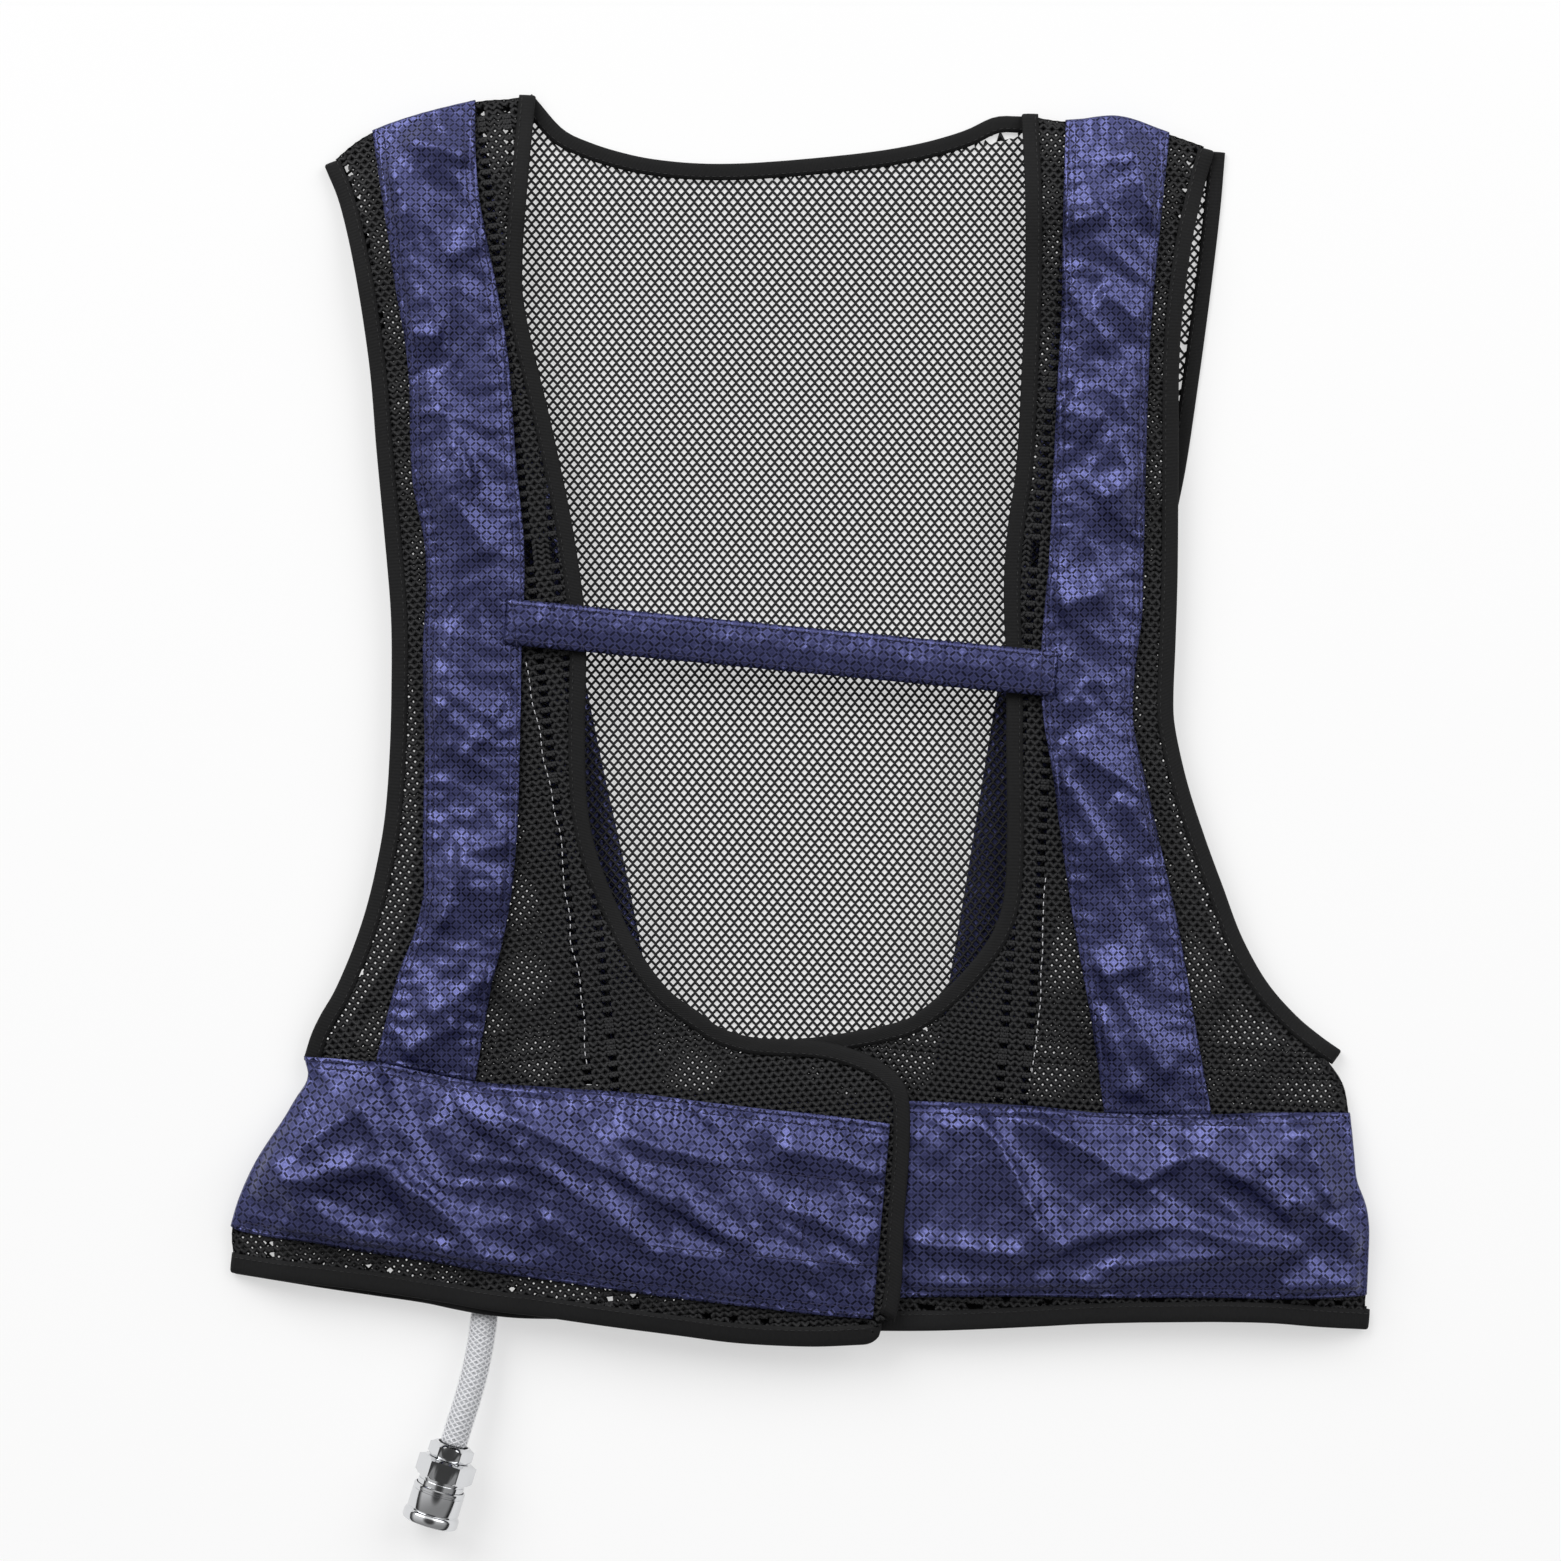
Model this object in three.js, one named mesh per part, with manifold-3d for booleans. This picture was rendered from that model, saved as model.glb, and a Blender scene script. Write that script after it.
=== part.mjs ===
// Air cooling vest lying on its back: net panels, air ducts, bindings, strap, hose and quick coupler.
// Millimetres. X runs across the vest, Y from the hem to the neck, Z up from the surface it lies on.
// The origin is on that surface, under the middle of the cloth.
import * as THREE from "three";
import { mergeVertices } from "three/addons/utils/BufferGeometryUtils.js";
import Module from "manifold-3d";

const wasm = await Module();
wasm.setup();

// Driving sizes of the cloth
const vestWidth = 487;
const vestLength = 537;
const beltHeight = 80;
const ductWidth = 42;
const strapWidth = 19.5;
const tapeWidth = 7;
const hemTapeWidth = 8.6;
const hemNetHeight = 7.2;
const patchHeight = 35;
const netThickness = 1;
const clothThickness = 1.2;
const tapeThickness = 2;
const patchThickness = 1;

// Heights and clearances of the layers
const torsoHollow = 7.5;
const armholeGap = 6;
const backPuffHeight = 2.2;
const beltPuffHeight = 3;
const ductPuffHeight = 3.6;
const foldHeight = 1.5;
const beltFoldWidth = 11;
const ductFoldWidth = 8;
const layerGap = 0.55;
const seamGap = 0.3;
const tapeGap = 0.6;
const edgeGap = 0.9;
const floorGap = 0.15;
const strapSag = 2.6;
const levelRounding = 2;
const sideDrape = 30;
const shoulderDrape = 40;
const ductDrape = 24;

// Hose and quick coupler
const hoseDiameter = 12;
const inletLength = 8;
const hoseDrape = 40;
const inletDrape = 60;
const nutWidth = 17;
const nutLength = 6.4;
const couplerHexWidth = 22;
const couplerHexLength = 8.6;
const couplerBodyDiameter = 20.2;
const couplerBore = 12;
const couplerBoreDepth = 16;
const sleeveDiameter = 22.6;
const sleeveRimDiameter = 24.4;
const sleeveLength = 16;
const sleeveRimLength = 5;
const sleeveClearance = 0.35;
const sleeveTravel = 3.5;
const couplerTurnDegrees = 162.8;
const barrelOverlap = 1;
const sleeveRimRound = 0.6;
const roundSides = 32;
const hoseSides = 10;

// Outlines, as shares of vestWidth from the left and of vestLength from the hem's lowest point
const sideLeft = [
  { across: 0.001, along: 0.071 },
  { across: 0.000, along: 0.092 },
  { across: 0.011, along: 0.122 },
  { across: 0.027, along: 0.151 },
  { across: 0.045, along: 0.175 },
  { across: 0.072, along: 0.217 },
];
const sideRight = [
  { across: 1.000, along: 0.028 },
  { across: 1.002, along: 0.083 },
  { across: 1.000, along: 0.108 },
  { across: 0.992, along: 0.124 },
  { across: 0.986, along: 0.180 },
  { across: 0.981, along: 0.207 },
];
const armholeFrontLeft = [
  { across: 0.064, along: 0.231 },
  { across: 0.074, along: 0.256 },
  { across: 0.090, along: 0.280 },
  { across: 0.112, along: 0.328 },
  { across: 0.127, along: 0.378 },
  { across: 0.137, along: 0.435 },
  { across: 0.141, along: 0.515 },
  { across: 0.140, along: 0.595 },
  { across: 0.130, along: 0.691 },
  { across: 0.121, along: 0.787 },
  { across: 0.102, along: 0.889 },
  { across: 0.082, along: 0.941 },
];
const armholeBackLeft = [
  { across: 0.066, along: 0.232 },
  { across: 0.095, along: 0.250 },
  { across: 0.124, along: 0.287 },
  { across: 0.146, along: 0.325 },
  { across: 0.159, along: 0.378 },
  { across: 0.163, along: 0.435 },
  { across: 0.161, along: 0.500 },
  { across: 0.152, along: 0.563 },
  { across: 0.133, along: 0.691 },
  { across: 0.123, along: 0.787 },
  { across: 0.104, along: 0.889 },
  { across: 0.083, along: 0.941 },
];
const armholeFrontRight = [
  { across: 0.976, along: 0.236 },
  { across: 0.955, along: 0.250 },
  { across: 0.921, along: 0.279 },
  { across: 0.891, along: 0.325 },
  { across: 0.869, along: 0.379 },
  { across: 0.847, along: 0.435 },
  { across: 0.832, along: 0.493 },
  { across: 0.831, along: 0.528 },
  { across: 0.834, along: 0.595 },
  { across: 0.835, along: 0.691 },
  { across: 0.838, along: 0.827 },
  { across: 0.855, along: 0.911 },
  { across: 0.867, along: 0.952 },
];
const armholeBackRight = [
  { across: 0.974, along: 0.235 },
  { across: 0.940, along: 0.252 },
  { across: 0.903, along: 0.283 },
  { across: 0.871, along: 0.325 },
  { across: 0.848, along: 0.379 },
  { across: 0.829, along: 0.435 },
  { across: 0.819, along: 0.493 },
  { across: 0.818, along: 0.550 },
  { across: 0.827, along: 0.625 },
  { across: 0.843, along: 0.700 },
  { across: 0.856, along: 0.780 },
  { across: 0.871, along: 0.884 },
  { across: 0.878, along: 0.953 },
];
const neckFrontLeft = [
  { across: 0.573, along: 0.004 },
  { across: 0.588, along: 0.030 },
  { across: 0.592, along: 0.092 },
  { across: 0.598, along: 0.180 },
  { across: 0.590, along: 0.212 },
  { across: 0.566, along: 0.229 },
  { across: 0.523, along: 0.242 },
  { across: 0.449, along: 0.247 },
  { across: 0.417, along: 0.263 },
  { across: 0.382, along: 0.287 },
  { across: 0.350, along: 0.332 },
  { across: 0.320, along: 0.400 },
  { across: 0.312, along: 0.467 },
  { across: 0.312, along: 0.579 },
  { across: 0.293, along: 0.691 },
  { across: 0.259, along: 0.827 },
  { across: 0.259, along: 0.889 },
  { across: 0.267, along: 0.996 },
];
const neckFrontRight = [
  { across: 0.409, along: 0.014 },
  { across: 0.413, along: 0.098 },
  { across: 0.419, along: 0.190 },
  { across: 0.432, along: 0.215 },
  { across: 0.455, along: 0.231 },
  { across: 0.493, along: 0.243 },
  { across: 0.523, along: 0.246 },
  { across: 0.572, along: 0.254 },
  { across: 0.602, along: 0.263 },
  { across: 0.639, along: 0.292 },
  { across: 0.671, along: 0.329 },
  { across: 0.683, along: 0.375 },
  { across: 0.683, along: 0.456 },
  { across: 0.683, along: 0.541 },
  { across: 0.681, along: 0.627 },
  { across: 0.691, along: 0.691 },
  { across: 0.698, along: 0.807 },
  { across: 0.700, along: 0.889 },
  { across: 0.698, along: 0.981 },
];
const shoulderLine = [
  { across: 0.060, along: 0.930 },
  { across: 0.082, along: 0.941 },
  { across: 0.124, along: 0.970 },
  { across: 0.214, along: 0.994 },
  { across: 0.244, along: 0.996 },
  { across: 0.267, along: 0.999 },
  { across: 0.292, along: 0.973 },
  { across: 0.339, along: 0.956 },
  { across: 0.386, along: 0.948 },
  { across: 0.442, along: 0.946 },
  { across: 0.520, along: 0.951 },
  { across: 0.590, along: 0.959 },
  { across: 0.643, along: 0.971 },
  { across: 0.671, along: 0.983 },
  { across: 0.698, along: 0.984 },
  { across: 0.737, along: 0.978 },
  { across: 0.783, along: 0.981 },
  { across: 0.828, along: 0.968 },
  { across: 0.878, along: 0.953 },
  { across: 0.900, along: 0.948 },
];
const hemBack = [
  { across: 0.001, along: 0.054 },
  { across: 0.104, along: 0.039 },
  { across: 0.181, along: 0.030 },
  { across: 0.290, along: 0.018 },
  { across: 0.400, along: 0.015 },
  { across: 0.580, along: 0.018 },
  { across: 0.767, along: 0.023 },
  { across: 0.919, along: 0.024 },
  { across: 0.999, along: 0.012 },
];
const hemFrontLeft = [
  { across: 0.001, along: 0.055 },
  { across: 0.104, along: 0.045 },
  { across: 0.181, along: 0.035 },
  { across: 0.290, along: 0.021 },
  { across: 0.390, along: 0.009 },
  { across: 0.449, along: 0.002 },
  { across: 0.497, along: 0.000 },
  { across: 0.544, along: 0.000 },
  { across: 0.600, along: 0.006 },
];
const hemFrontRight = [
  { across: 0.390, along: 0.014 },
  { across: 0.584, along: 0.011 },
  { across: 0.676, along: 0.013 },
  { across: 0.767, along: 0.017 },
  { across: 0.858, along: 0.018 },
  { across: 0.919, along: 0.017 },
  { across: 0.999, along: 0.010 },
];

// Belts: net strip below the lower edge as a share of hemNetHeight, where the upper edge lies across,
// and height as a share of beltHeight
const beltFrontLeft = [
  { across: 0.000, strip: 1.52, topAcross: 0.083, height: 0.92 },
  { across: 0.060, strip: 1.30, topAcross: 0.124, height: 0.96 },
  { across: 0.113, strip: 1.07, topAcross: 0.162, height: 0.97 },
  { across: 0.181, strip: 1.07, topAcross: 0.215, height: 0.97 },
  { across: 0.272, strip: 1.04, topAcross: 0.290, height: 1.02 },
  { across: 0.360, strip: 1.00, topAcross: 0.355, height: 1.07 },
  { across: 0.457, strip: 1.04, topAcross: 0.449, height: 1.07 },
  { across: 0.519, strip: 0.70, topAcross: 0.519, height: 1.07 },
  { across: 0.565, strip: 0.30, topAcross: 0.580, height: 1.04 },
];
const beltFrontRight = [
  { across: 0.430, strip: 0.67, topAcross: 0.439, height: 1.05 },
  { across: 0.501, strip: 0.67, topAcross: 0.505, height: 1.05 },
  { across: 0.588, strip: 0.78, topAcross: 0.600, height: 1.05 },
  { across: 0.706, strip: 0.59, topAcross: 0.706, height: 1.02 },
  { across: 0.767, strip: 0.30, topAcross: 0.767, height: 0.99 },
  { across: 0.858, strip: 0.25, topAcross: 0.858, height: 0.98 },
  { across: 0.934, strip: 0.30, topAcross: 0.919, height: 1.00 },
  { across: 1.000, strip: 0.85, topAcross: 0.984, height: 0.98 },
];
const beltBack = [
  { across: 0.001, strip: 1.45, topAcross: 0.081, height: 0.86 },
  { across: 0.100, strip: 1.33, topAcross: 0.140, height: 0.98 },
  { across: 0.220, strip: 1.19, topAcross: 0.240, height: 1.02 },
  { across: 0.400, strip: 1.00, topAcross: 0.405, height: 1.05 },
  { across: 0.600, strip: 0.60, topAcross: 0.600, height: 1.03 },
  { across: 0.800, strip: 0.40, topAcross: 0.797, height: 0.98 },
  { across: 1.000, strip: 1.00, topAcross: 0.983, height: 0.97 },
];

// Ducts: level as a share of the way from the belt to the shoulder, centre as a share of vestWidth,
// width as a share of ductWidth
const ductFrontLeft = [
  { level: 0.000, centre: 0.172, width: 1.01 },
  { level: 0.097, centre: 0.189, width: 0.95 },
  { level: 0.171, centre: 0.207, width: 0.88 },
  { level: 0.251, centre: 0.211, width: 0.96 },
  { level: 0.335, centre: 0.213, width: 0.97 },
  { level: 0.437, centre: 0.213, width: 1.01 },
  { level: 0.533, centre: 0.216, width: 1.00 },
  { level: 0.622, centre: 0.206, width: 1.07 },
  { level: 0.733, centre: 0.201, width: 1.02 },
  { level: 0.800, centre: 0.192, width: 1.01 },
  { level: 0.906, centre: 0.177, width: 0.96 },
  { level: 1.000, centre: 0.169, width: 1.05 },
];
const ductFrontRight = [
  { level: 0.000, centre: 0.816, width: 1.09 },
  { level: 0.093, centre: 0.803, width: 1.06 },
  { level: 0.184, centre: 0.789, width: 1.07 },
  { level: 0.264, centre: 0.776, width: 1.02 },
  { level: 0.345, centre: 0.763, width: 0.94 },
  { level: 0.412, centre: 0.753, width: 0.92 },
  { level: 0.482, centre: 0.758, width: 1.00 },
  { level: 0.556, centre: 0.762, width: 0.96 },
  { level: 0.717, centre: 0.767, width: 0.93 },
  { level: 0.807, centre: 0.771, width: 0.92 },
  { level: 0.910, centre: 0.776, width: 1.00 },
  { level: 1.000, centre: 0.782, width: 1.06 },
];
const ductBackLeft = [
  { level: 0.00, centre: 0.335, width: 1.0 },
  { level: 0.15, centre: 0.318, width: 1.0 },
  { level: 0.41, centre: 0.271, width: 1.0 },
  { level: 0.71, centre: 0.222, width: 1.0 },
  { level: 1.00, centre: 0.170, width: 1.04 },
];
const ductBackRight = [
  { level: 0.00, centre: 0.658, width: 1.0 },
  { level: 0.14, centre: 0.680, width: 1.0 },
  { level: 0.42, centre: 0.720, width: 1.0 },
  { level: 0.71, centre: 0.762, width: 1.0 },
  { level: 1.00, centre: 0.782, width: 1.04 },
];

// Main folds of the blue cloth: both ends as shares along the belt or duct and across it, and height
// as a share of foldHeight
const foldsBeltLeft = [
  { along: 0.15, across: 0.92, toAlong: 0.47, toAcross: 0.45, height: 1.0 },
  { along: 0.08, across: 0.75, toAlong: 0.35, toAcross: 0.20, height: 0.9 },
  { along: 0.33, across: 0.85, toAlong: 0.68, toAcross: 0.55, height: 0.7 },
  { along: 0.03, across: 0.25, toAlong: 0.30, toAcross: 0.42, height: 0.5 },
  { along: 0.66, across: 0.32, toAlong: 0.92, toAcross: 0.15, height: 0.6 },
];
const foldsBeltRight = [
  { along: 0.38, across: 0.95, toAlong: 0.51, toAcross: 0.30, height: 0.9 },
  { along: 0.37, across: 0.50, toAlong: 0.74, toAcross: 0.52, height: 0.7 },
  { along: 0.43, across: 0.22, toAlong: 0.82, toAcross: 0.28, height: 0.6 },
  { along: 0.59, across: 0.90, toAlong: 0.82, toAcross: 0.20, height: 0.9 },
  { along: 0.88, across: 0.95, toAlong: 0.99, toAcross: 0.42, height: 1.0 },
];
const foldsDuctLeft = [
  { along: 0.17, across: 0.10, toAlong: 0.25, toAcross: 0.90, height: 0.8 },
  { along: 0.37, across: 0.15, toAlong: 0.31, toAcross: 0.85, height: 0.7 },
  { along: 0.49, across: 0.05, toAlong: 0.56, toAcross: 0.90, height: 1.0 },
  { along: 0.63, across: 0.10, toAlong: 0.57, toAcross: 0.95, height: 0.9 },
  { along: 0.77, across: 0.10, toAlong: 0.71, toAcross: 0.80, height: 0.6 },
];
const foldsDuctRight = [
  { along: 0.15, across: 0.90, toAlong: 0.22, toAcross: 0.10, height: 0.8 },
  { along: 0.31, across: 0.10, toAlong: 0.25, toAcross: 0.90, height: 0.9 },
  { along: 0.38, across: 0.90, toAlong: 0.44, toAcross: 0.10, height: 1.0 },
  { along: 0.49, across: 0.05, toAlong: 0.44, toAcross: 0.90, height: 0.9 },
  { along: 0.62, across: 0.85, toAlong: 0.66, toAcross: 0.15, height: 0.6 },
  { along: 0.86, across: 0.15, toAlong: 0.81, toAcross: 0.85, height: 0.6 },
];

// Chest strap's middle line, and the fastener patches' corners across the vest
const strapEnds = { left: 0.243, right: 0.726, leftAlong: 0.577, rightAlong: 0.535 };
const hookPatchSpan = { left: 0.360, right: 0.571, low: 0.22 };
const loopPatchSpan = { left: 0.440, right: 0.571, low: 0.22 };

// The lap of the left front over the right one rises between these shares of vestWidth
const lapRise = { start: 0.200, end: 0.355, top: 0.35 };

// Hose route, points chosen by hand, and where the coupler starts
const hosePoints = [
  [-132.4, -231.6, 7.9],
  [-132.7, -236.0, 7.84],
  [-133.2, -241.5, 7.76],
  [-133.8, -247.0, 7.7],
  [-134.4, -252.0, 7.67],
  [-135.1, -257.5, 7.72],
  [-135.8, -263.0, 8.01],
  [-136.6, -268.5, 8.48],
  [-137.6, -274.0, 9.12],
  [-138.7, -279.5, 9.83],
  [-139.9, -284.5, 10.5],
  [-141.3, -289.5, 11.14],
  [-142.9, -295.0, 11.75],
  [-144.5, -300.0, 12.16],
  [-146.2, -305.5, 12.38],
  [-147.9, -311.0, 12.4],
];

// Materials
const net = new THREE.MeshStandardMaterial({ color: 0x232326, roughness: 0.8, flatShading: true });
const blueCloth = new THREE.MeshStandardMaterial({ color: 0x3f4180, roughness: 0.45, flatShading: true });
const tape = new THREE.MeshStandardMaterial({ color: 0x1b1b1d, roughness: 0.85, flatShading: true });
const fastener = new THREE.MeshStandardMaterial({ color: 0x17171a, roughness: 0.95, flatShading: true });
const rubber = new THREE.MeshStandardMaterial({ color: 0x1c1c1c, roughness: 0.7, flatShading: true });
const hosePlastic = new THREE.MeshStandardMaterial({ color: 0xe2e2ea, roughness: 0.3, flatShading: true });
const chrome = new THREE.MeshStandardMaterial({
  color: 0xd5d7da, roughness: 0.12, metalness: 1, flatShading: true,
});

const vest = new THREE.Group();

// A point of the vest's plan from its shares
function plan(across, along) {
  return new THREE.Vector2((across - 0.5) * vestWidth, (along - 0.5) * vestLength);
}

function outline(rows) {
  return new THREE.SplineCurve(rows.map((row) => plan(row.across, row.along)));
}

// Evenly spaced points along a curve
function spaced(curve, count) {
  return Array.from({ length: count + 1 }, (_, i) => curve.getPointAt(i / count));
}

// The same line moved sideways, to the right of its direction where the distance is positive
function inset(points, distance) {
  return points.map((point, i) => {
    const ahead = points[Math.min(i + 1, points.length - 1)];
    const behind = points[Math.max(i - 1, 0)];
    const direction = ahead.clone().sub(behind).normalize();
    return new THREE.Vector2(point.x + direction.y * distance, point.y - direction.x * distance);
  });
}

// Value of one coordinate read along a line from the other one
function reader(points, from, to) {
  const sorted = points.slice().sort((a, b) => a[from] - b[from]);
  return (value) => {
    let i = 1;
    while (i < sorted.length - 1 && sorted[i][from] < value) i += 1;
    const low = sorted[i - 1];
    const high = sorted[i];
    const share = THREE.MathUtils.clamp((value - low[from]) / (high[from] - low[from]), 0, 1);
    return THREE.MathUtils.lerp(low[to], high[to], share);
  };
}

const fineSteps = 120;
const shoulderAt = reader(spaced(outline(shoulderLine), fineSteps), "x", "y");
const leftSideAt = reader(
  [...spaced(outline(sideLeft), fineSteps), ...spaced(outline(armholeFrontLeft), fineSteps)], "y", "x");
const rightSideAt = reader(
  [...spaced(outline(sideRight), fineSteps), ...spaced(outline(armholeFrontRight), fineSteps)], "y", "x");
const armholeFoot = plan(0, sideLeft.at(-1).along).y;
const armholeHead = plan(0, armholeFrontLeft.at(-1).along).y;

// Belts and ducts in plan
function lineReader(rows, lift) {
  const read = reader(spaced(outline(rows), fineSteps), "x", "y");
  return (x) => read(x) + lift;
}

function beltEdges(rows, hemRows) {
  const hemAt = lineReader(hemRows, hemTapeWidth + seamGap);
  const lowY = (row) => hemAt(plan(row.across, 0).x) + row.strip * hemNetHeight;
  const low = rows.map((row) => new THREE.Vector2(plan(row.across, 0).x, lowY(row)));
  const high = rows.map((row) => (
    new THREE.Vector2(plan(row.topAcross, 0).x, lowY(row) + row.height * beltHeight)));
  return { low: new THREE.SplineCurve(low), high: new THREE.SplineCurve(high) };
}

function beltLines(rows, hemRows) {
  const { low, high } = beltEdges(rows, hemRows);
  return {
    low,
    high,
    lowAt: reader(low.getPoints(fineSteps), "x", "y"),
    highAt: reader(high.getPoints(fineSteps), "x", "y"),
  };
}

const backBelt = beltLines(beltBack, hemBack);
const leftBelt = beltLines(beltFrontLeft, hemFrontLeft);
const rightBelt = beltLines(beltFrontRight, hemFrontRight);

function ductLine(rows, beltTopAt) {
  const centres = new THREE.SplineCurve(rows.map((row) => new THREE.Vector2(row.centre, row.level)));
  const widths = new THREE.SplineCurve(rows.map((row) => new THREE.Vector2(row.width, row.level)));
  return (level, side) => {
    const share = reader(centres.getPoints(fineSteps), "y", "x")(level);
    const half = (reader(widths.getPoints(fineSteps), "y", "x")(level) * ductWidth) / 2;
    const x = plan(share, 0).x + side * half;
    const low = beltTopAt(x) + seamGap;
    const high = shoulderAt(x) - seamGap;
    return new THREE.Vector2(x, THREE.MathUtils.lerp(low, high, level));
  };
}

const backDuctLeftLine = ductLine(ductBackLeft, backBelt.highAt);
const backDuctRightLine = ductLine(ductBackRight, backBelt.highAt);

function middleReader(line) {
  const middle = Array.from({ length: fineSteps + 1 }, (_, i) => line(i / fineSteps, 0));
  return reader(middle, "y", "x");
}

const backDuctLeftAt = middleReader(backDuctLeftLine);
const backDuctRightAt = middleReader(backDuctRightLine);

// Heights of the layers
const netRest = (tapeThickness - netThickness) / 2 + floorGap;
const ductSeamHeight = clothThickness + layerGap;
const hose = new THREE.CatmullRomCurve3(hosePoints.map((point) => new THREE.Vector3(...point)));
const hoseStart = hose.getPoint(0);
const hoseTop = hoseStart.z + hoseDiameter / 2;
const frontLevel = ductSeamHeight + backPuffHeight + netThickness + torsoHollow;
const coverHeight = netThickness + layerGap;
const lapEdgeLift = tapeThickness + layerGap + coverHeight - netThickness;
const lapPatchLift = coverHeight + clothThickness + 2 * (patchThickness + layerGap) + layerGap;

function smooth(value) {
  return THREE.MathUtils.smoothstep(value, 0, 1);
}

// The larger of two heights, with a rounded change from one to the other
function softMax(a, b) {
  return (a + b + Math.hypot(a - b, levelRounding)) / 2;
}

function roundOff(value) {
  return Math.sin((THREE.MathUtils.clamp(value, 0, 1) * Math.PI) / 2);
}

// How high the cloth of a band and its puff lift the net, by the distance from the band's middle
function bandLift(distance, half, seamLift, puff) {
  if (distance >= half) return seamLift * (1 - smooth((distance - half) / ductDrape));
  return seamLift + puff * Math.cos((distance / half) * (Math.PI / 2)) ** 2;
}

function hoseLift(x, y) {
  const nearest = (x - hoseStart.x) / hoseDrape;
  if (Math.abs(nearest) >= 1) return 0;
  const inside = smooth((hoseStart.y + inletLength + inletDrape - y) / inletDrape);
  return (hoseTop + 3 * layerGap - netRest) * (1 - nearest ** 2) ** 2 * inside;
}

function backUnder(x, y) {
  const seamLift = ductSeamHeight - netRest;
  const low = backBelt.lowAt(x);
  const high = backBelt.highAt(x);
  const lifts = [
    bandLift(Math.abs(x - backDuctLeftAt(y)), ductWidth / 2, seamLift, backPuffHeight),
    bandLift(Math.abs(x - backDuctRightAt(y)), ductWidth / 2, seamLift, backPuffHeight),
    bandLift(Math.abs(y - (low + high) / 2), (high - low) / 2, seamLift, backPuffHeight),
    hoseLift(x, y),
  ];
  return netRest + Math.max(...lifts);
}

function frontUnder(x, y) {
  const seam = backUnder(x, y) + tapeThickness + layerGap;
  const open = smooth((y - armholeFoot) / sideDrape) * smooth((armholeHead - y) / shoulderDrape);
  const edge = seam + armholeGap * open;
  const fromSide = Math.min(x - leftSideAt(y), rightSideAt(y) - x);
  const level = edge + (softMax(frontLevel, seam) - edge) * roundOff(fromSide / sideDrape);
  return seam + (level - seam) * roundOff((shoulderAt(x) - y) / shoulderDrape);
}

function lapLift(x, y) {
  const low = rightBelt.lowAt(x);
  const high = rightBelt.highAt(x);
  const fromBelt = Math.max(low - y, y - high, 0);
  const overBelt = 1 - smooth(fromBelt / sideDrape);
  const start = plan(lapRise.start, 0).x;
  const end = plan(lapRise.end, 0).x;
  const fromTop = plan(0, lapRise.top).y - y;
  const reach = smooth((x - start) / (end - start)) * smooth(fromTop / sideDrape);
  return (lapEdgeLift + (lapPatchLift - lapEdgeLift) * overBelt) * reach;
}

function leftFrontUnder(x, y) {
  return frontUnder(x, y) + lapLift(x, y);
}

// One closed sheet of cloth over a grid of plan points, with its underside at a given height
function sheet(grid, under, thickness) {
  const rows = grid.length;
  const columns = grid[0].length;
  const end = rows - 1;
  const side = columns - 1;
  const positions = [];
  for (const lift of [0, thickness]) {
    for (const row of grid) {
      for (const point of row) positions.push(point.x, point.y, under(point.x, point.y) + lift);
    }
  }
  const index = (layer, i, j) => (layer * rows + i) * columns + j;
  const faces = [];
  const quad = (a, b, c, d) => faces.push(a, b, c, a, c, d);
  for (let i = 0; i < end; i += 1) {
    for (let j = 0; j < side; j += 1) {
      quad(index(1, i, j), index(1, i, j + 1), index(1, i + 1, j + 1), index(1, i + 1, j));
      quad(index(0, i, j), index(0, i + 1, j), index(0, i + 1, j + 1), index(0, i, j + 1));
    }
  }
  for (let j = 0; j < side; j += 1) {
    quad(index(0, 0, j), index(0, 0, j + 1), index(1, 0, j + 1), index(1, 0, j));
    quad(index(0, end, j + 1), index(0, end, j), index(1, end, j), index(1, end, j + 1));
  }
  for (let i = 0; i < end; i += 1) {
    quad(index(0, i + 1, 0), index(0, i, 0), index(1, i, 0), index(1, i + 1, 0));
    quad(index(0, i, side), index(0, i + 1, side), index(1, i + 1, side), index(1, i, side));
  }
  if (planArea(grid) < 0) faces.reverse();
  const geometry = new THREE.BufferGeometry();
  geometry.setAttribute("position", new THREE.Float32BufferAttribute(positions, 3));
  geometry.setIndex(faces);
  geometry.computeVertexNormals();
  return geometry;
}

function planArea(grid) {
  const a = grid[0][0];
  const b = grid[0].at(-1);
  const c = grid.at(-1)[0];
  return (b.x - a.x) * (c.y - a.y) - (b.y - a.y) * (c.x - a.x);
}

function addPiece(name, geometry, material) {
  const mesh = new THREE.Mesh(geometry, material);
  mesh.name = name;
  vest.add(mesh);
  return mesh;
}

const hemReach = 0.16;
const topReach = 0.32;

// Grid between two lines of equal count, its end rows bent to the hem and the shoulder line
function panelGrid(left, right, shares, hemAt, topAt) {
  const last = left.length - 1;
  const between = (i, share) => left[i].clone().lerp(right[i], share);
  return left.map((_, i) => shares.map((share) => {
    const point = between(i, share);
    const foot = between(0, share);
    const head = between(last, share);
    const t = i / last;
    const nearHem = Math.max(1 - t / hemReach, 0) ** 2;
    const nearTop = Math.max(1 - (1 - t) / topReach, 0) ** 2;
    point.y += (hemAt(foot.x) - foot.y) * nearHem + (topAt(head.x) - head.y) * nearTop;
    return point;
  }));
}

const endCrowding = 0.2;

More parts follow.
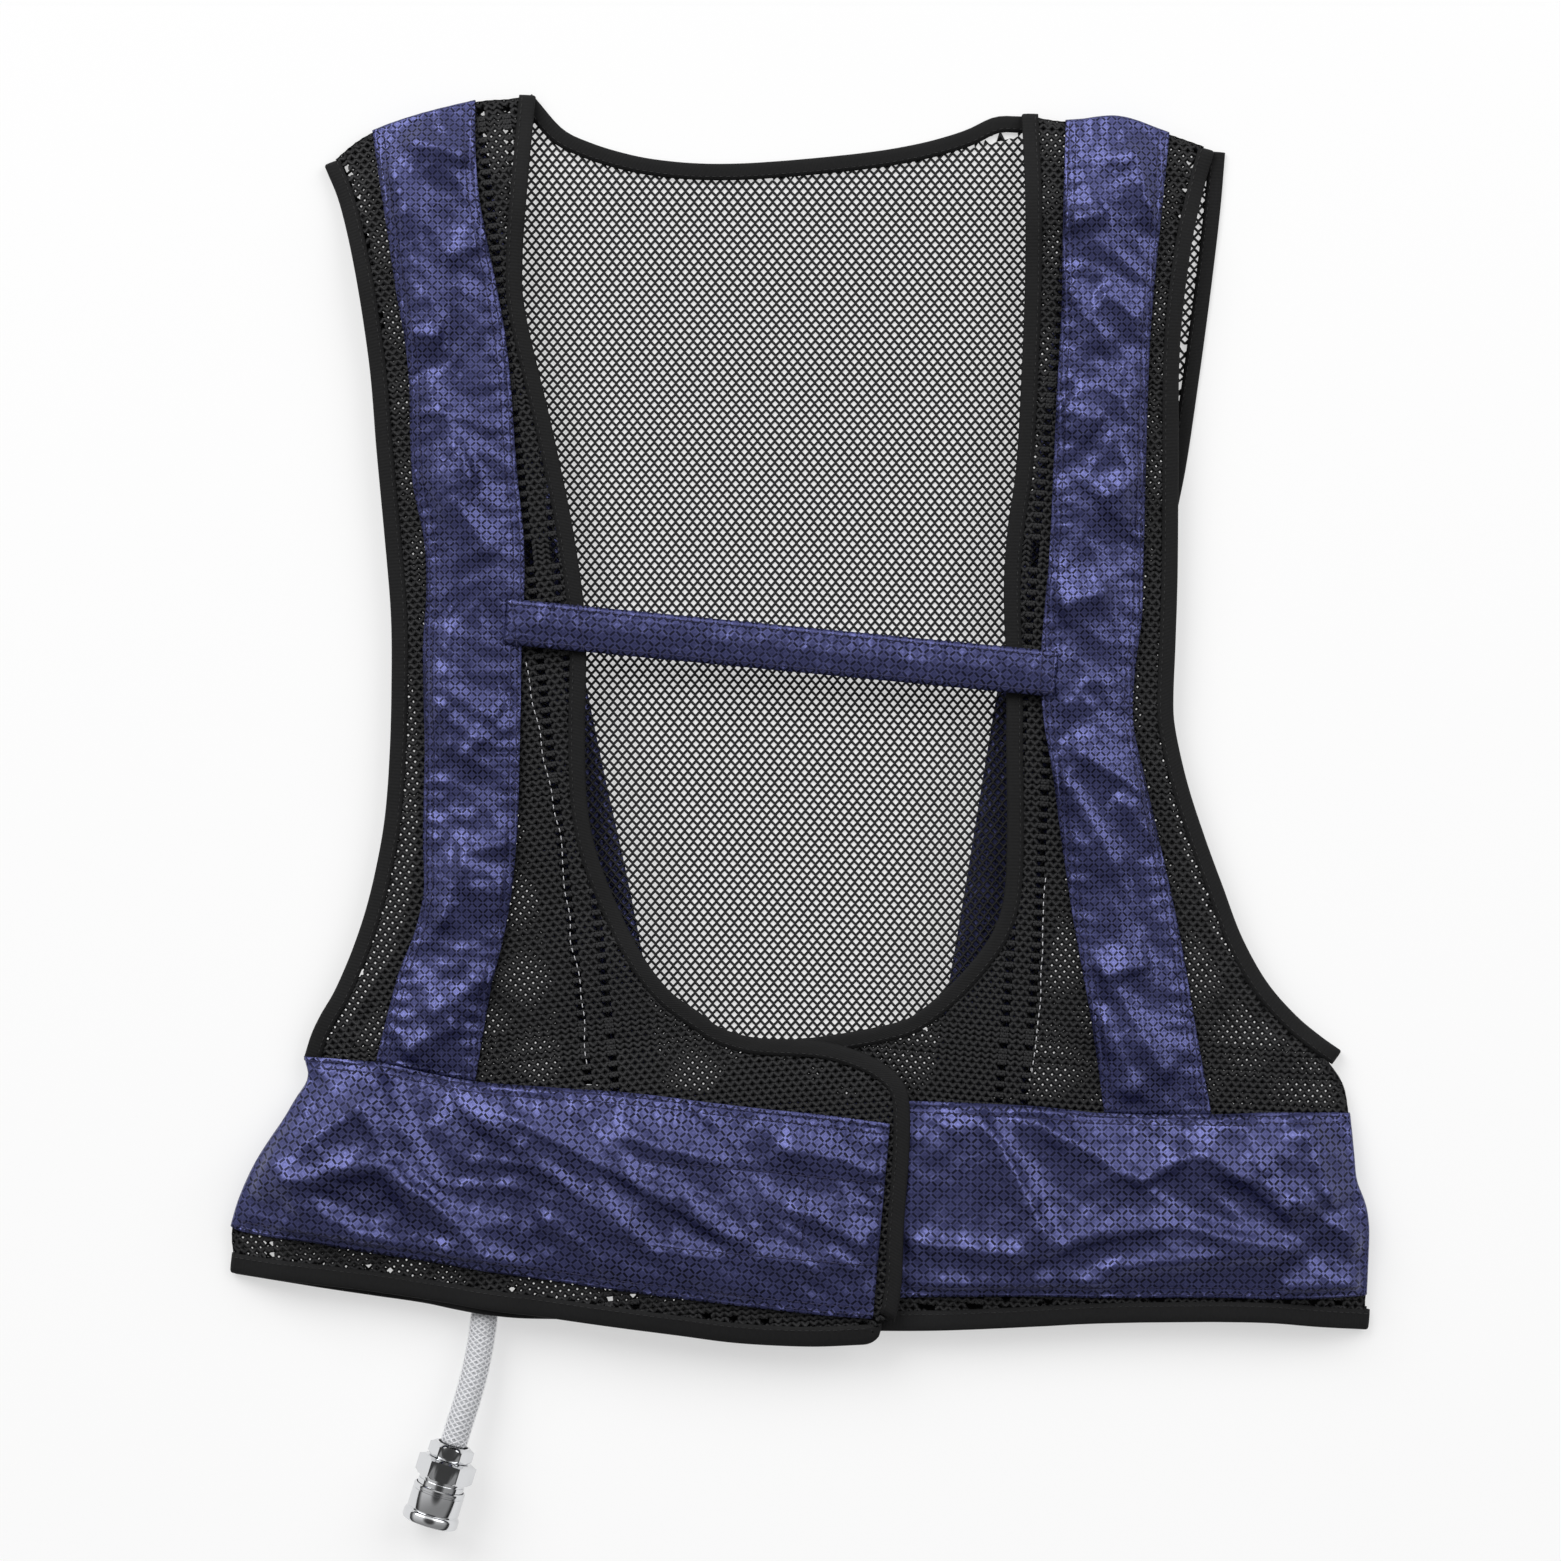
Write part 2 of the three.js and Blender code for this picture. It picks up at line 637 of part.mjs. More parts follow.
// Shares of a width, closer together at its ends
function columnShares(count) {
  const even = Array.from({ length: count + 1 }, (_, i) => i / count);
  return even.map((share) => share - (0.5 - share) * 4 * share * (1 - share) * endCrowding);
}

// The same with a column at each quarter of the cloth's drape over the hose
function hoseShares(count, left, right) {
  const width = right.x - left.x;
  const middle = (hoseStart.x - left.x) / width;
  const step = hoseDrape / 4 / width;
  const extra = [-4, -3, -2, -1, 0, 1, 2, 3, 4].map((n) => middle + n * step);
  const kept = columnShares(count).filter((share) => share === 0 || Math.abs(share - middle) > 4.6 * step);
  return [...kept, ...extra].sort((a, b) => a - b);
}

// Panels
const sideRows = 8;
const armholeRows = 16;
const panelRows = sideRows + armholeRows + 1;
const joinedTape = tapeWidth + tapeGap;
const hemFree = hemTapeWidth + edgeGap;

const armholeLine = (rows) => outline(rows).getPoints(armholeRows);
const neckLine = (rows) => outline(rows).getPoints(panelRows);

function sideAndArmhole(side, armhole, width) {
  return [...outline(side).getPoints(sideRows), ...inset(armholeLine(armhole), width)];
}

// Line of the back's neck edge, between the two fronts' bindings
function backNeckLine() {
  const left = plan(neckFrontLeft.at(-1).across, 0).x;
  const right = plan(neckFrontRight.at(-1).across, 0).x;
  const steps = 18;
  return Array.from({ length: steps + 1 }, (_, i) => {
    const x = THREE.MathUtils.lerp(left, right, i / steps);
    return new THREE.Vector2(x, shoulderAt(x));
  });
}

function frontTopAt(x) {
  return shoulderAt(x) - seamGap;
}

const neckFoot = inset(backNeckLine(), tapeWidth + edgeGap);
const neckFootAt = reader(neckFoot, "x", "y");

function backTopAt(x) {
  const inNeck = x > neckFoot[0].x - tapeWidth && x < neckFoot.at(-1).x + tapeWidth;
  return inNeck ? Math.min(neckFootAt(x), frontTopAt(x)) : frontTopAt(x);
}

function backPanel() {
  const left = sideAndArmhole(sideLeft, armholeBackLeft, joinedTape);
  const right = sideAndArmhole(sideRight, armholeBackRight, -joinedTape);
  const shares = hoseShares(16, left[0], right[0]);
  const grid = panelGrid(left, right, shares, lineReader(hemBack, hemFree), backTopAt);
  addPiece("back_panel", sheet(grid, backUnder, netThickness), net);
}

function frontPanelLeft() {
  const left = sideAndArmhole(sideLeft, armholeFrontLeft, joinedTape);
  const right = inset(neckLine(neckFrontLeft), -joinedTape);
  const shares = hoseShares(11, left[0], right[0]);
  const grid = panelGrid(left, right, shares, lineReader(hemFrontLeft, hemFree), frontTopAt);
  addPiece("front_panel_left", sheet(grid, leftFrontUnder, netThickness), net);
}

function frontPanelRight() {
  const right = sideAndArmhole(sideRight, armholeFrontRight, -joinedTape);
  const left = inset(neckLine(neckFrontRight), joinedTape);
  const grid = panelGrid(left, right, columnShares(12), lineReader(hemFrontRight, hemFree), frontTopAt);
  addPiece("front_panel_right", sheet(grid, frontUnder, netThickness), net);
}

// Folded tape along a line, on the cloth's own edge
function tapeStrip(name, outer, width, under) {
  const inner = inset(outer, width);
  const grid = outer.map((point, i) => [point, inner[i]]);
  const lowered = (x, y) => under(x, y) - (tapeThickness - netThickness) / 2;
  addPiece(name, sheet(grid, lowered, tapeThickness), tape);
}

function neckBindings() {
  tapeStrip("neckline_binding_left", neckLine(neckFrontLeft), -tapeWidth, leftFrontUnder);
  tapeStrip("neckline_binding_right", neckLine(neckFrontRight), tapeWidth, frontUnder);
  tapeStrip("back_neck_binding", backNeckLine(), tapeWidth, backUnder);
}

function armholeBindings() {
  tapeStrip("armhole_binding_front_left", armholeLine(armholeFrontLeft), tapeWidth, frontUnder);
  tapeStrip("armhole_binding_front_right", armholeLine(armholeFrontRight), -tapeWidth, frontUnder);
  tapeStrip("armhole_binding_back_left", armholeLine(armholeBackLeft), tapeWidth, backUnder);
  tapeStrip("armhole_binding_back_right", armholeLine(armholeBackRight), -tapeWidth, backUnder);
}

// Hem tape between two places across, closer stations round the hose
function hemTape(name, rows, from, to, under) {
  const at = lineReader(rows, 0);
  const steps = Math.round((to - from) / (hoseDrape / 2));
  const stations = Array.from({ length: steps + 1 }, (_, i) => THREE.MathUtils.lerp(from, to, i / steps));
  const nearHose = [-0.4, -0.2, 0, 0.2, 0.4].map((share) => hoseStart.x + share * hoseDrape);
  const inReach = nearHose.filter((x) => x > from && x < to);
  const clear = stations.filter((x) => inReach.every((near) => Math.abs(near - x) > hoseDrape * 0.09));
  const line = [...clear, ...inReach].sort((a, b) => a - b).map((x) => new THREE.Vector2(x, at(x)));
  tapeStrip(name, line, -hemTapeWidth, under);
}

function hemBindings() {
  const left = plan(sideLeft[0].across, 0).x;
  const right = plan(sideRight[0].across, 0).x;
  const leftFrontEdge = plan(neckFrontLeft[0].across, 0).x - tapeWidth - 2 * seamGap;
  const rightFrontEdge = plan(neckFrontRight[0].across, 0).x + tapeWidth + 2 * seamGap;
  hemTape("hem_binding_back", hemBack, left, right, backUnder);
  hemTape("hem_binding_left", hemFrontLeft, left, leftFrontEdge, leftFrontUnder);
  hemTape("hem_binding_right", hemFrontRight, rightFrontEdge, right, frontUnder);
}

// Height of the folds over plan points, each a ridge along a straight line
function foldLift(folds, place, width) {
  const ridges = folds.map((fold) => ({
    line: new THREE.Line3(place(fold.along, fold.across), place(fold.toAlong, fold.toAcross)),
    height: fold.height * foldHeight,
  }));
  const nearest = new THREE.Vector3();
  return (x, y) => {
    const point = new THREE.Vector3(x, y, 0);
    return Math.max(...ridges.map((ridge) => {
      const distance = ridge.line.closestPointToPoint(point, true, nearest).distanceTo(point);
      return ridge.height * Math.exp(-((distance / width) ** 2));
    }));
  };
}

// Belt cloth: rows from the lower edge to the upper one, its ends drawn out to the sides of the vest
const beltRows = 8;

function beltGrid(belt, shares, leftEnd, rightEnd) {
  const reach = 0.12;
  return Array.from({ length: beltRows + 1 }, (_, i) => shares.map((share) => {
    const point = belt.low.getPoint(share).lerp(belt.high.getPoint(share), i / beltRows);
    const toLeft = leftSideAt(point.y) + seamGap - point.x;
    const toRight = rightSideAt(point.y) - seamGap - point.x;
    if (leftEnd) point.x += toLeft * Math.max(1 - share / reach, 0);
    if (rightEnd) point.x += toRight * Math.max(1 - (1 - share) / reach, 0);
    return point;
  }));
}

// Underside of a belt's outer cloth over the net, puffed and folded between its sewn edges
function beltCover(belt, netUnder, puffAt, folds) {
  const place = (along, across) => {
    const point = belt.low.getPoint(along).lerp(belt.high.getPoint(along), across);
    return new THREE.Vector3(point.x, point.y, 0);
  };
  const foldAt = foldLift(folds, place, beltFoldWidth);
  return (x, y) => {
    const low = belt.lowAt(x);
    const share = THREE.MathUtils.clamp((y - low) / (belt.highAt(x) - low), 0, 1);
    return netUnder(x, y) + coverHeight + (puffAt(x) + foldAt(x, y)) * Math.sin(share * Math.PI);
  };
}

function belts() {
  const frontEdge = plan(beltFrontLeft.at(-1).across, 0).x;
  const left = plan(0, 0).x;
  const right = plan(1, 0).x;
  const lapEdge = frontEdge + tapeWidth * 2;
  const rise = (distance) => beltPuffHeight * roundOff(distance / sideDrape);
  const leftPuff = (x) => rise(x - left) * roundOff((frontEdge - x) / sideDrape);
  const rightPuff = (x) => rise(right - x) * smooth((x - lapEdge) / sideDrape);
  const leftCover = beltCover(leftBelt, leftFrontUnder, leftPuff, foldsBeltLeft);
  const rightCover = beltCover(rightBelt, frontUnder, rightPuff, foldsBeltRight);
  const leftShares = hoseShares(16, leftBelt.low.getPoint(0), leftBelt.low.getPoint(1));
  const leftGrid = beltGrid(leftBelt, leftShares, true, false);
  const rightGrid = beltGrid(rightBelt, columnShares(20), false, true);
  const backGrid = beltGrid(backBelt, columnShares(10), true, true);
  addPiece("front_belt_left", sheet(leftGrid, leftCover, clothThickness), blueCloth);
  addPiece("front_belt_right", sheet(rightGrid, rightCover, clothThickness), blueCloth);
  addPiece("back_belt", sheet(backGrid, () => 0, clothThickness), blueCloth);
}

// Duct cloth: rows from the belt to the shoulder
function ductGrid(rows, beltTopAt, steps, columns) {
  const line = ductLine(rows, beltTopAt);
  const levels = columnShares(steps);
  return Array.from({ length: steps + 1 }, (_, i) => (
    Array.from({ length: columns + 1 }, (__, j) => line(levels[i], (2 * j) / columns - 1))));
}

function ductCover(rows, beltTopAt, folds) {
  const line = ductLine(rows, beltTopAt);
  const middleAt = middleReader(line);
  const place = (along, across) => {
    const point = line(along, 2 * across - 1);
    return new THREE.Vector3(point.x, point.y, 0);
  };
  const foldAt = foldLift(folds, place, ductFoldWidth);
  return (x, y) => {
    const across = THREE.MathUtils.clamp(Math.abs(x - middleAt(y)) / (ductWidth / 2), 0, 1);
    const ends = roundOff((shoulderAt(x) - y) / shoulderDrape) * roundOff((y - beltTopAt(x)) / sideDrape);
    const arch = Math.cos(across * (Math.PI / 2)) * ends;
    return frontUnder(x, y) + coverHeight + (ductPuffHeight + foldAt(x, y)) * arch;
  };
}

const leftDuctCover = ductCover(ductFrontLeft, leftBelt.highAt, foldsDuctLeft);
const rightDuctCover = ductCover(ductFrontRight, rightBelt.highAt, foldsDuctRight);

function frontDuct(name, rows, belt, cover) {
  addPiece(name, sheet(ductGrid(rows, belt.highAt, 22, 6), cover, clothThickness), blueCloth);
}

function backDuct(name, rows) {
  addPiece(name, sheet(ductGrid(rows, backBelt.highAt, 8, 2), () => 0, clothThickness), blueCloth);
}

// Strap from duct to duct, each end on its duct, hanging a little between them
function chestStrap() {
  const left = plan(strapEnds.left, strapEnds.leftAlong);
  const right = plan(strapEnds.right, strapEnds.rightAlong);
  const columns = 16;
  const middle = Array.from({ length: columns + 1 }, (_, i) => left.clone().lerp(right, i / columns));
  const lower = inset(middle, strapWidth / 2);
  const upper = inset(middle, -strapWidth / 2);
  const seat = (cover, corners) => Math.max(...corners.map((corner) => cover(corner.x, corner.y)));
  const leftSeat = seat(leftDuctCover, [lower[0], upper[0]]);
  const rightSeat = seat(rightDuctCover, [lower.at(-1), upper.at(-1)]);
  const under = (x) => {
    const share = THREE.MathUtils.clamp((x - left.x) / (right.x - left.x), 0, 1);
    const seated = THREE.MathUtils.lerp(leftSeat, rightSeat, share) + clothThickness + layerGap;
    return seated - strapSag * Math.sin(share * Math.PI) ** 0.5;
  };
  addPiece("chest_strap", sheet([lower, upper], under, clothThickness), blueCloth);
}

// Fastener patches between the lapped fronts
function patchGrid(span, columns) {
  return Array.from({ length: 3 }, (_, i) => Array.from({ length: columns + 1 }, (__, j) => {
    const x = plan(THREE.MathUtils.lerp(span.left, span.right, j / columns), 0).x;
    const low = rightBelt.lowAt(x) + span.low * beltHeight;
    return new THREE.Vector2(x, low + (patchHeight * i) / 2);
  }));
}

function fastenerPatches() {
  const onRight = (x, y) => frontUnder(x, y) + coverHeight + clothThickness + layerGap;
  const underLeft = (x, y) => leftFrontUnder(x, y) - layerGap - patchThickness;
  addPiece("loop_patch", sheet(patchGrid(loopPatchSpan, 4), onRight, patchThickness), fastener);
  addPiece("hook_patch", sheet(patchGrid(hookPatchSpan, 10), underLeft, patchThickness), fastener);
}

// Hose: a tube along its route, its inlet stub in the belt and the coupler on its far end
function airHose() {
  const ring = new THREE.Shape(Array.from({ length: hoseSides }, (_, i) => {
    const angle = (i / hoseSides) * Math.PI * 2;
    return new THREE.Vector2(Math.cos(angle), Math.sin(angle)).multiplyScalar(hoseDiameter / 2);
  }));
  const tube = new THREE.ExtrudeGeometry(ring, { steps: 8, extrudePath: hose, bevelEnabled: false });
  addPiece("air_hose", tube, hosePlastic);
  const stub = new THREE.CylinderGeometry(hoseDiameter / 2, hoseDiameter / 2, inletLength, roundSides / 2);
  const inlet = addPiece("hose_inlet", stub, rubber);
  const direction = hose.getTangent(0).negate();
  inlet.quaternion.setFromUnitVectors(new THREE.Vector3(0, 1, 0), direction);
  inlet.position.copy(hoseStart).addScaledVector(direction, inletLength / 2 + seamGap);
}

// Hexagon prism along Y with flats above and below
function hexPrism(width, from, length) {
  const corner = width / Math.sqrt(3);
  const shape = new THREE.Shape(Array.from({ length: 6 }, (_, i) => {
    const angle = (i * Math.PI) / 3;
    return new THREE.Vector2(Math.cos(angle), Math.sin(angle)).multiplyScalar(corner);
  }));
  const prism = new THREE.ExtrudeGeometry(shape, { depth: length, bevelEnabled: false });
  return prism.rotateX(-Math.PI / 2).translate(0, from, 0);
}

function lathe(profile, sides) {
  return new THREE.LatheGeometry(profile.map(([radius, along]) => new THREE.Vector2(radius, along)), sides);
}

function solid(geometry) {
  const bare = geometry.clone();
  bare.deleteAttribute("normal");
  bare.deleteAttribute("uv");
  const merged = mergeVertices(bare, 1e-3);
  return new wasm.Manifold(new wasm.Mesh({
    numProp: 3,
    vertProperties: new Float32Array(merged.attributes.position.array),
    triVerts: new Uint32Array(merged.index.array),
  }));
}

function geometryOf(manifold) {
  const mesh = manifold.getMesh();
  const geometry = new THREE.BufferGeometry();
  geometry.setAttribute("position", new THREE.Float32BufferAttribute(mesh.vertProperties, 3));
  geometry.setIndex(Array.from(mesh.triVerts));
  geometry.computeVertexNormals();
  return geometry;
}

function quickCoupler() {
  const group = new THREE.Group();
  group.position.copy(hose.getPoint(1));
  group.rotation.z = THREE.MathUtils.degToRad(couplerTurnDegrees);
  vest.add(group);
  const add = (name, geometry) => {
    const mesh = new THREE.Mesh(geometry, chrome);
    mesh.name = name;
    group.add(mesh);
  };
  const hexStart = seamGap * 2 + nutLength;
  const neckStart = hexStart + couplerHexLength;
  const sleeveStart = neckStart + sleeveTravel + sleeveClearance;
  const mouth = sleeveStart + sleeveLength - sleeveRimLength / 4;
  const bodyRadius = couplerBodyDiameter / 2;
  const boreRadius = couplerBore / 2;
  add("hose_nut", hexPrism(nutWidth, seamGap, nutLength));
  const barrel = lathe([
    [0, neckStart - barrelOverlap],
    [bodyRadius, neckStart - barrelOverlap],
    [bodyRadius, mouth],
    [boreRadius, mouth],
    [boreRadius, mouth - couplerBoreDepth],
    [0, mouth - couplerBoreDepth],
  ], roundSides);
  const body = solid(hexPrism(couplerHexWidth, hexStart, couplerHexLength)).add(solid(barrel));
  add("coupler_body", geometryOf(body));
  const inner = bodyRadius + sleeveClearance;
  const outer = sleeveDiameter / 2;
  const rim = sleeveRimDiameter / 2;
  const end = sleeveStart + sleeveLength;
  add("coupler_sleeve", lathe([
    [outer, sleeveStart],
    [outer, end - sleeveRimLength],
    [rim, end - sleeveRimLength / 2],
    [rim, end - sleeveRimRound],
    [rim - sleeveRimRound, end],
    [inner, end],
    [inner, sleeveStart],
    [outer, sleeveStart],
  ], roundSides));
}

backPanel();
frontPanelLeft();
frontPanelRight();
neckBindings();
armholeBindings();
hemBindings();
belts();
frontDuct("front_duct_left", ductFrontLeft, leftBelt, leftDuctCover);
frontDuct("front_duct_right", ductFrontRight, rightBelt, rightDuctCover);
backDuct("back_duct_left", ductBackLeft);
backDuct("back_duct_right", ductBackRight);
chestStrap();
fastenerPatches();
airHose();
quickCoupler();

export default vest;
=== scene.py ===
# Cooling vest lying on its back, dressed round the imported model
import math

import bmesh
import bpy
import numpy as np
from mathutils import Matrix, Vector, noise
from mathutils.bvhtree import BVHTree


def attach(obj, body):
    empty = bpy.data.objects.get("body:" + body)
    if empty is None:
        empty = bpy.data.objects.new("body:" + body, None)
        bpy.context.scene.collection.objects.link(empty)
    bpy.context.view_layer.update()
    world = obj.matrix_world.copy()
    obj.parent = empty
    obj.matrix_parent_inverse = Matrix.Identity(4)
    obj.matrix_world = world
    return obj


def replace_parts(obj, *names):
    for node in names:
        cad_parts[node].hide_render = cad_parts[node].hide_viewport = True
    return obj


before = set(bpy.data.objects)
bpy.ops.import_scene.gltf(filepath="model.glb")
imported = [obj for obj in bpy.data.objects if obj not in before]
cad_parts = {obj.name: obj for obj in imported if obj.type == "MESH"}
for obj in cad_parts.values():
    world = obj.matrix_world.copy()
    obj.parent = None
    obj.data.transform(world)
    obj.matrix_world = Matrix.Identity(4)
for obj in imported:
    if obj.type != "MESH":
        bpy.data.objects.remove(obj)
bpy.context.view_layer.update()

mm = 0.001
scene = bpy.context.scene
vestBody = "vest"


# Small helpers

def linear(hexColour, alpha=1.0):
    channels = [int(hexColour[i:i + 2], 16) / 255 for i in (1, 3, 5)]
    turned = [c / 12.92 if c <= 0.04045 else ((c + 0.055) / 1.055) ** 2.4 for c in channels]
    return (*turned, alpha)


def addNode(tree, kind, inputs=None, **settings):
    node = tree.nodes.new(kind)
    for name, value in settings.items():
        setattr(node, name, value)
    for name, value in (inputs or {}).items():
        socket = node.inputs[name]
        if isinstance(value, bpy.types.NodeSocket):
            tree.links.new(value, socket)
        else:
            socket.default_value = value
    return node


def smoothStep(value):
    t = np.clip(value, 0.0, 1.0)
    return t * t * (3 - 2 * t)


def newPiece(name, mesh, material):
    obj = bpy.data.objects.new(name, mesh)
    scene.collection.objects.link(obj)
    mesh.materials.clear()
    mesh.materials.append(material)
    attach(obj, vestBody)
    return obj


def shadeSmooth(mesh, smooth=True):
    mesh.polygons.foreach_set("use_smooth", [smooth] * len(mesh.polygons))


# Camera straight above the vest, as the photograph has it

camera = {
    "frameSide": 671.2 * mm,
    "height": 1700 * mm,
    "middle": (-7.7 * mm, -26.7 * mm),
    "sensor": 36.0,
}


def setCamera():
    data = bpy.data.cameras.new("photoCamera")
    data.sensor_width = camera["sensor"]
    data.lens = camera["sensor"] * camera["height"] / camera["frameSide"]
    data.clip_end = 20
    obj = bpy.data.objects.new("photoCamera", data)
    obj.location = (*camera["middle"], camera["height"] + 8 * mm)
    scene.collection.objects.link(obj)
    scene.camera = obj


# Pale floor, even sky light and one large soft light from the upper left

light = {
    "floorHalf": 3.0,
    "floorDrop": 0.05 * mm,
    "tableGlow": 0.52,
    "sky": 0.62,
    "horizon": 0.05,
    "overhead": 0.12,           # share of the sky's light left round the camera
    "nearSide": 0.45,           # share of it toward the hem and toward the shoulders
    "farSide": 1.5,
    "keyPower": 230.0,
    "keySize": 4.4,
    "keyPlace": (-3.0, 3.9, 3.4),
    "fillPower": 110.0,
    "fillSize": 4.4,
    "fillPlace": (3.7, 2.4, 3.2),
}


def paintedFloor():
    # Frosted white table lit from below: bright and even, with faint shadows
    material = bpy.data.materials.new("frostedLightTable")
    material.use_nodes = True
    shader = material.node_tree.nodes["Principled BSDF"]
    shader.inputs["Base Color"].default_value = linear("#b4b4b4")
    shader.inputs["Emission Color"].default_value = (1, 1, 1, 1)
    shader.inputs["Emission Strength"].default_value = light["tableGlow"]
    shader.inputs["Roughness"].default_value = 0.95
    shader.inputs["Specular IOR Level"].default_value = 0.1
    return material


def setFloor():
    half = light["floorHalf"]
    mesh = bpy.data.meshes.new("floor")
    corners = [(-half, -half), (half, -half), (half, half), (-half, half)]
    mesh.from_pydata([(x, y, -light["floorDrop"]) for x, y in corners], [], [(0, 1, 2, 3)])
    obj = bpy.data.objects.new("floor", mesh)
    scene.collection.objects.link(obj)
    mesh.materials.append(paintedFloor())


def addSoftbox(name, place, size, power):
    data = bpy.data.lights.new(name, "AREA")
    data.shape = "DISK"
    data.size = size
    data.energy = power
    obj = bpy.data.objects.new(name, data)
    obj.location = place
    obj.rotation_euler = (-Vector(place)).to_track_quat("-Z", "Y").to_euler()
    scene.collection.objects.link(obj)


def setSky():
    world = bpy.data.worlds.new("studio")
    scene.world = world
    world.use_nodes = True
    tree = world.node_tree
    tree.nodes.clear()
    direction = addNode(tree, "ShaderNodeTexCoord").outputs["Generated"]
    parts = addNode(tree, "ShaderNodeSeparateXYZ", {0: direction}).outputs
    upward = parts["Z"]
    rising = addNode(tree, "ShaderNodeMapRange", {
        "Value": upward, "From Min": 0.12, "From Max": 0.42,
        "To Min": light["horizon"], "To Max": light["sky"],
    }, interpolation_type="SMOOTHSTEP").outputs[0]
    overhead = addNode(tree, "ShaderNodeMapRange", {
        "Value": upward, "From Min": 0.86, "From Max": 0.975, "To Min": 1.0, "To Max": light["overhead"],
    }, interpolation_type="SMOOTHSTEP").outputs[0]
    northward = addNode(tree, "ShaderNodeMapRange", {
        "Value": parts["Y"], "From Min": -0.6, "From Max": 0.6, "To Min": light["nearSide"], "To Max": light["farSide"],
    }, interpolation_type="SMOOTHSTEP").outputs[0]
    level = addNode(tree, "ShaderNodeMath", {0: rising, 1: overhead}, operation="MULTIPLY").outputs[0]
    level = addNode(tree, "ShaderNodeMath", {0: level, 1: northward}, operation="MULTIPLY").outputs[0]
    background = addNode(tree, "ShaderNodeBackground", {"Color": (1, 1, 1, 1), "Strength": level})
    addNode(tree, "ShaderNodeOutputWorld", {"Surface": background.outputs[0]})


def setStudio():
    scene.view_settings.view_transform = "Standard"
    scene.view_settings.look = "None"
    setFloor()
    setSky()
    addSoftbox("key", light["keyPlace"], light["keySize"], light["keyPower"])
    addSoftbox("fill", light["fillPlace"], light["fillSize"], light["fillPower"])


setCamera()
setStudio()
print("camera and studio")


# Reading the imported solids: merged copies, rays and edge lines

def mergedSolid(*names):
    bm = bmesh.new()
    for name in names:
        bm.from_mesh(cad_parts[name].data)
    bmesh.ops.remove_doubles(bm, verts=bm.verts, dist=0.002 * mm)
    bm.verts.ensure_lookup_table()
    bm.faces.ensure_lookup_table()
    return bm


class Surface:
    # Heights of one or more solids over plan points
    def __init__(self, *names):
        bm = mergedSolid(*names)
        self.tree = BVHTree.FromBMesh(bm)
        bm.free()

    def top(self, x, y, fallback=None):
        hit = self.tree.ray_cast(Vector((x, y, 1.0)), Vector((0, 0, -1)))[0]
        return hit.z if hit else self.nearest(x, y) if fallback is None else fallback

    def under(self, x, y, fallback=None):
        hit = self.tree.ray_cast(Vector((x, y, -1.0)), Vector((0, 0, 1)))[0]
        return hit.z if hit else self.nearest(x, y) if fallback is None else fallback

    def nearest(self, x, y):
        low = Vector((x, y, 0.0))
        point = self.tree.find_nearest(low)[0]
        return self.tree.find_nearest(Vector((x, y, point.z)))[0].z


def edgeLines(name):
    # The four border lines of a sheet solid's upper face, each a list of points, longest pair first
    bm = mergedSolid(name)
    bm.normal_update()
    upper = {face for face in bm.faces if face.normal.z > 0.2}
    border = {}
    for edge in bm.edges:
        sides = [face for face in edge.link_faces if face in upper]
        if len(sides) == 1:
            for vert in edge.verts:
                border.setdefault(vert, []).append(edge)
    start = next(iter(border))
    loop = [start]
    edge = border[start][0]
    while True:
        following = edge.other_vert(loop[-1])
        if following == start:
            break
        loop.append(following)
        edge = next(other for other in border[following] if other != edge)
    points = [vert.co.copy() for vert in loop]
    bm.free()
    count = len(points)

    def turning(i):
        before = (points[i] - points[i - 1]).xy
        after = (points[(i + 1) % count] - points[i]).xy
        return abs(before.angle_signed(after, 0.0))

    corners = sorted(sorted(range(count), key=turning)[-4:])
    lines = []
    for start, end in zip(corners, corners[1:] + [corners[0] + count]):
        lines.append([points[i % count] for i in range(start, end + 1)])
    return lines


def lineLength(points):
    return sum((b - a).length for a, b in zip(points, points[1:]))


def smoothLine(points, spacing):
    # Points at even spacing on a rounded line through the given ones
    points = [Vector(p) for p in points]
    padded = [2 * points[0] - points[1], *points, 2 * points[-1] - points[-2]]
    dense = []
    for i in range(1, len(padded) - 2):
        a, b, c, d = padded[i - 1:i + 3]
        for step in range(12):
            t = step / 12
            dense.append(0.5 * (2 * b + (c - a) * t + (2 * a - 5 * b + 4 * c - d) * t ** 2
                                + (3 * b - a - 3 * c + d) * t ** 3))
    dense.append(points[-1])
    return evenLine(dense, max(1, round(lineLength(dense) / spacing)))


def evenLine(points, count):
    # The same line cut into a number of equal steps
    table = np.array([tuple(p) for p in points])
    reach = np.concatenate([[0], np.cumsum(np.linalg.norm(np.diff(table, axis=0), axis=1))])
    wanted = np.linspace(0, reach[-1], count + 1)
    return [Vector([float(np.interp(w, reach, table[:, k])) for k in range(3)]) for w in wanted]


def longLines(name):
    # The two long border lines, running the same way
    lines = sorted(edgeLines(name), key=lineLength)[-2:]
    first, second = lines
    if (first[0] - second[0]).length > (first[0] - second[-1]).length:
        second = second[::-1]
    return first, second


# Net: knitted hexagons repeated over the panels

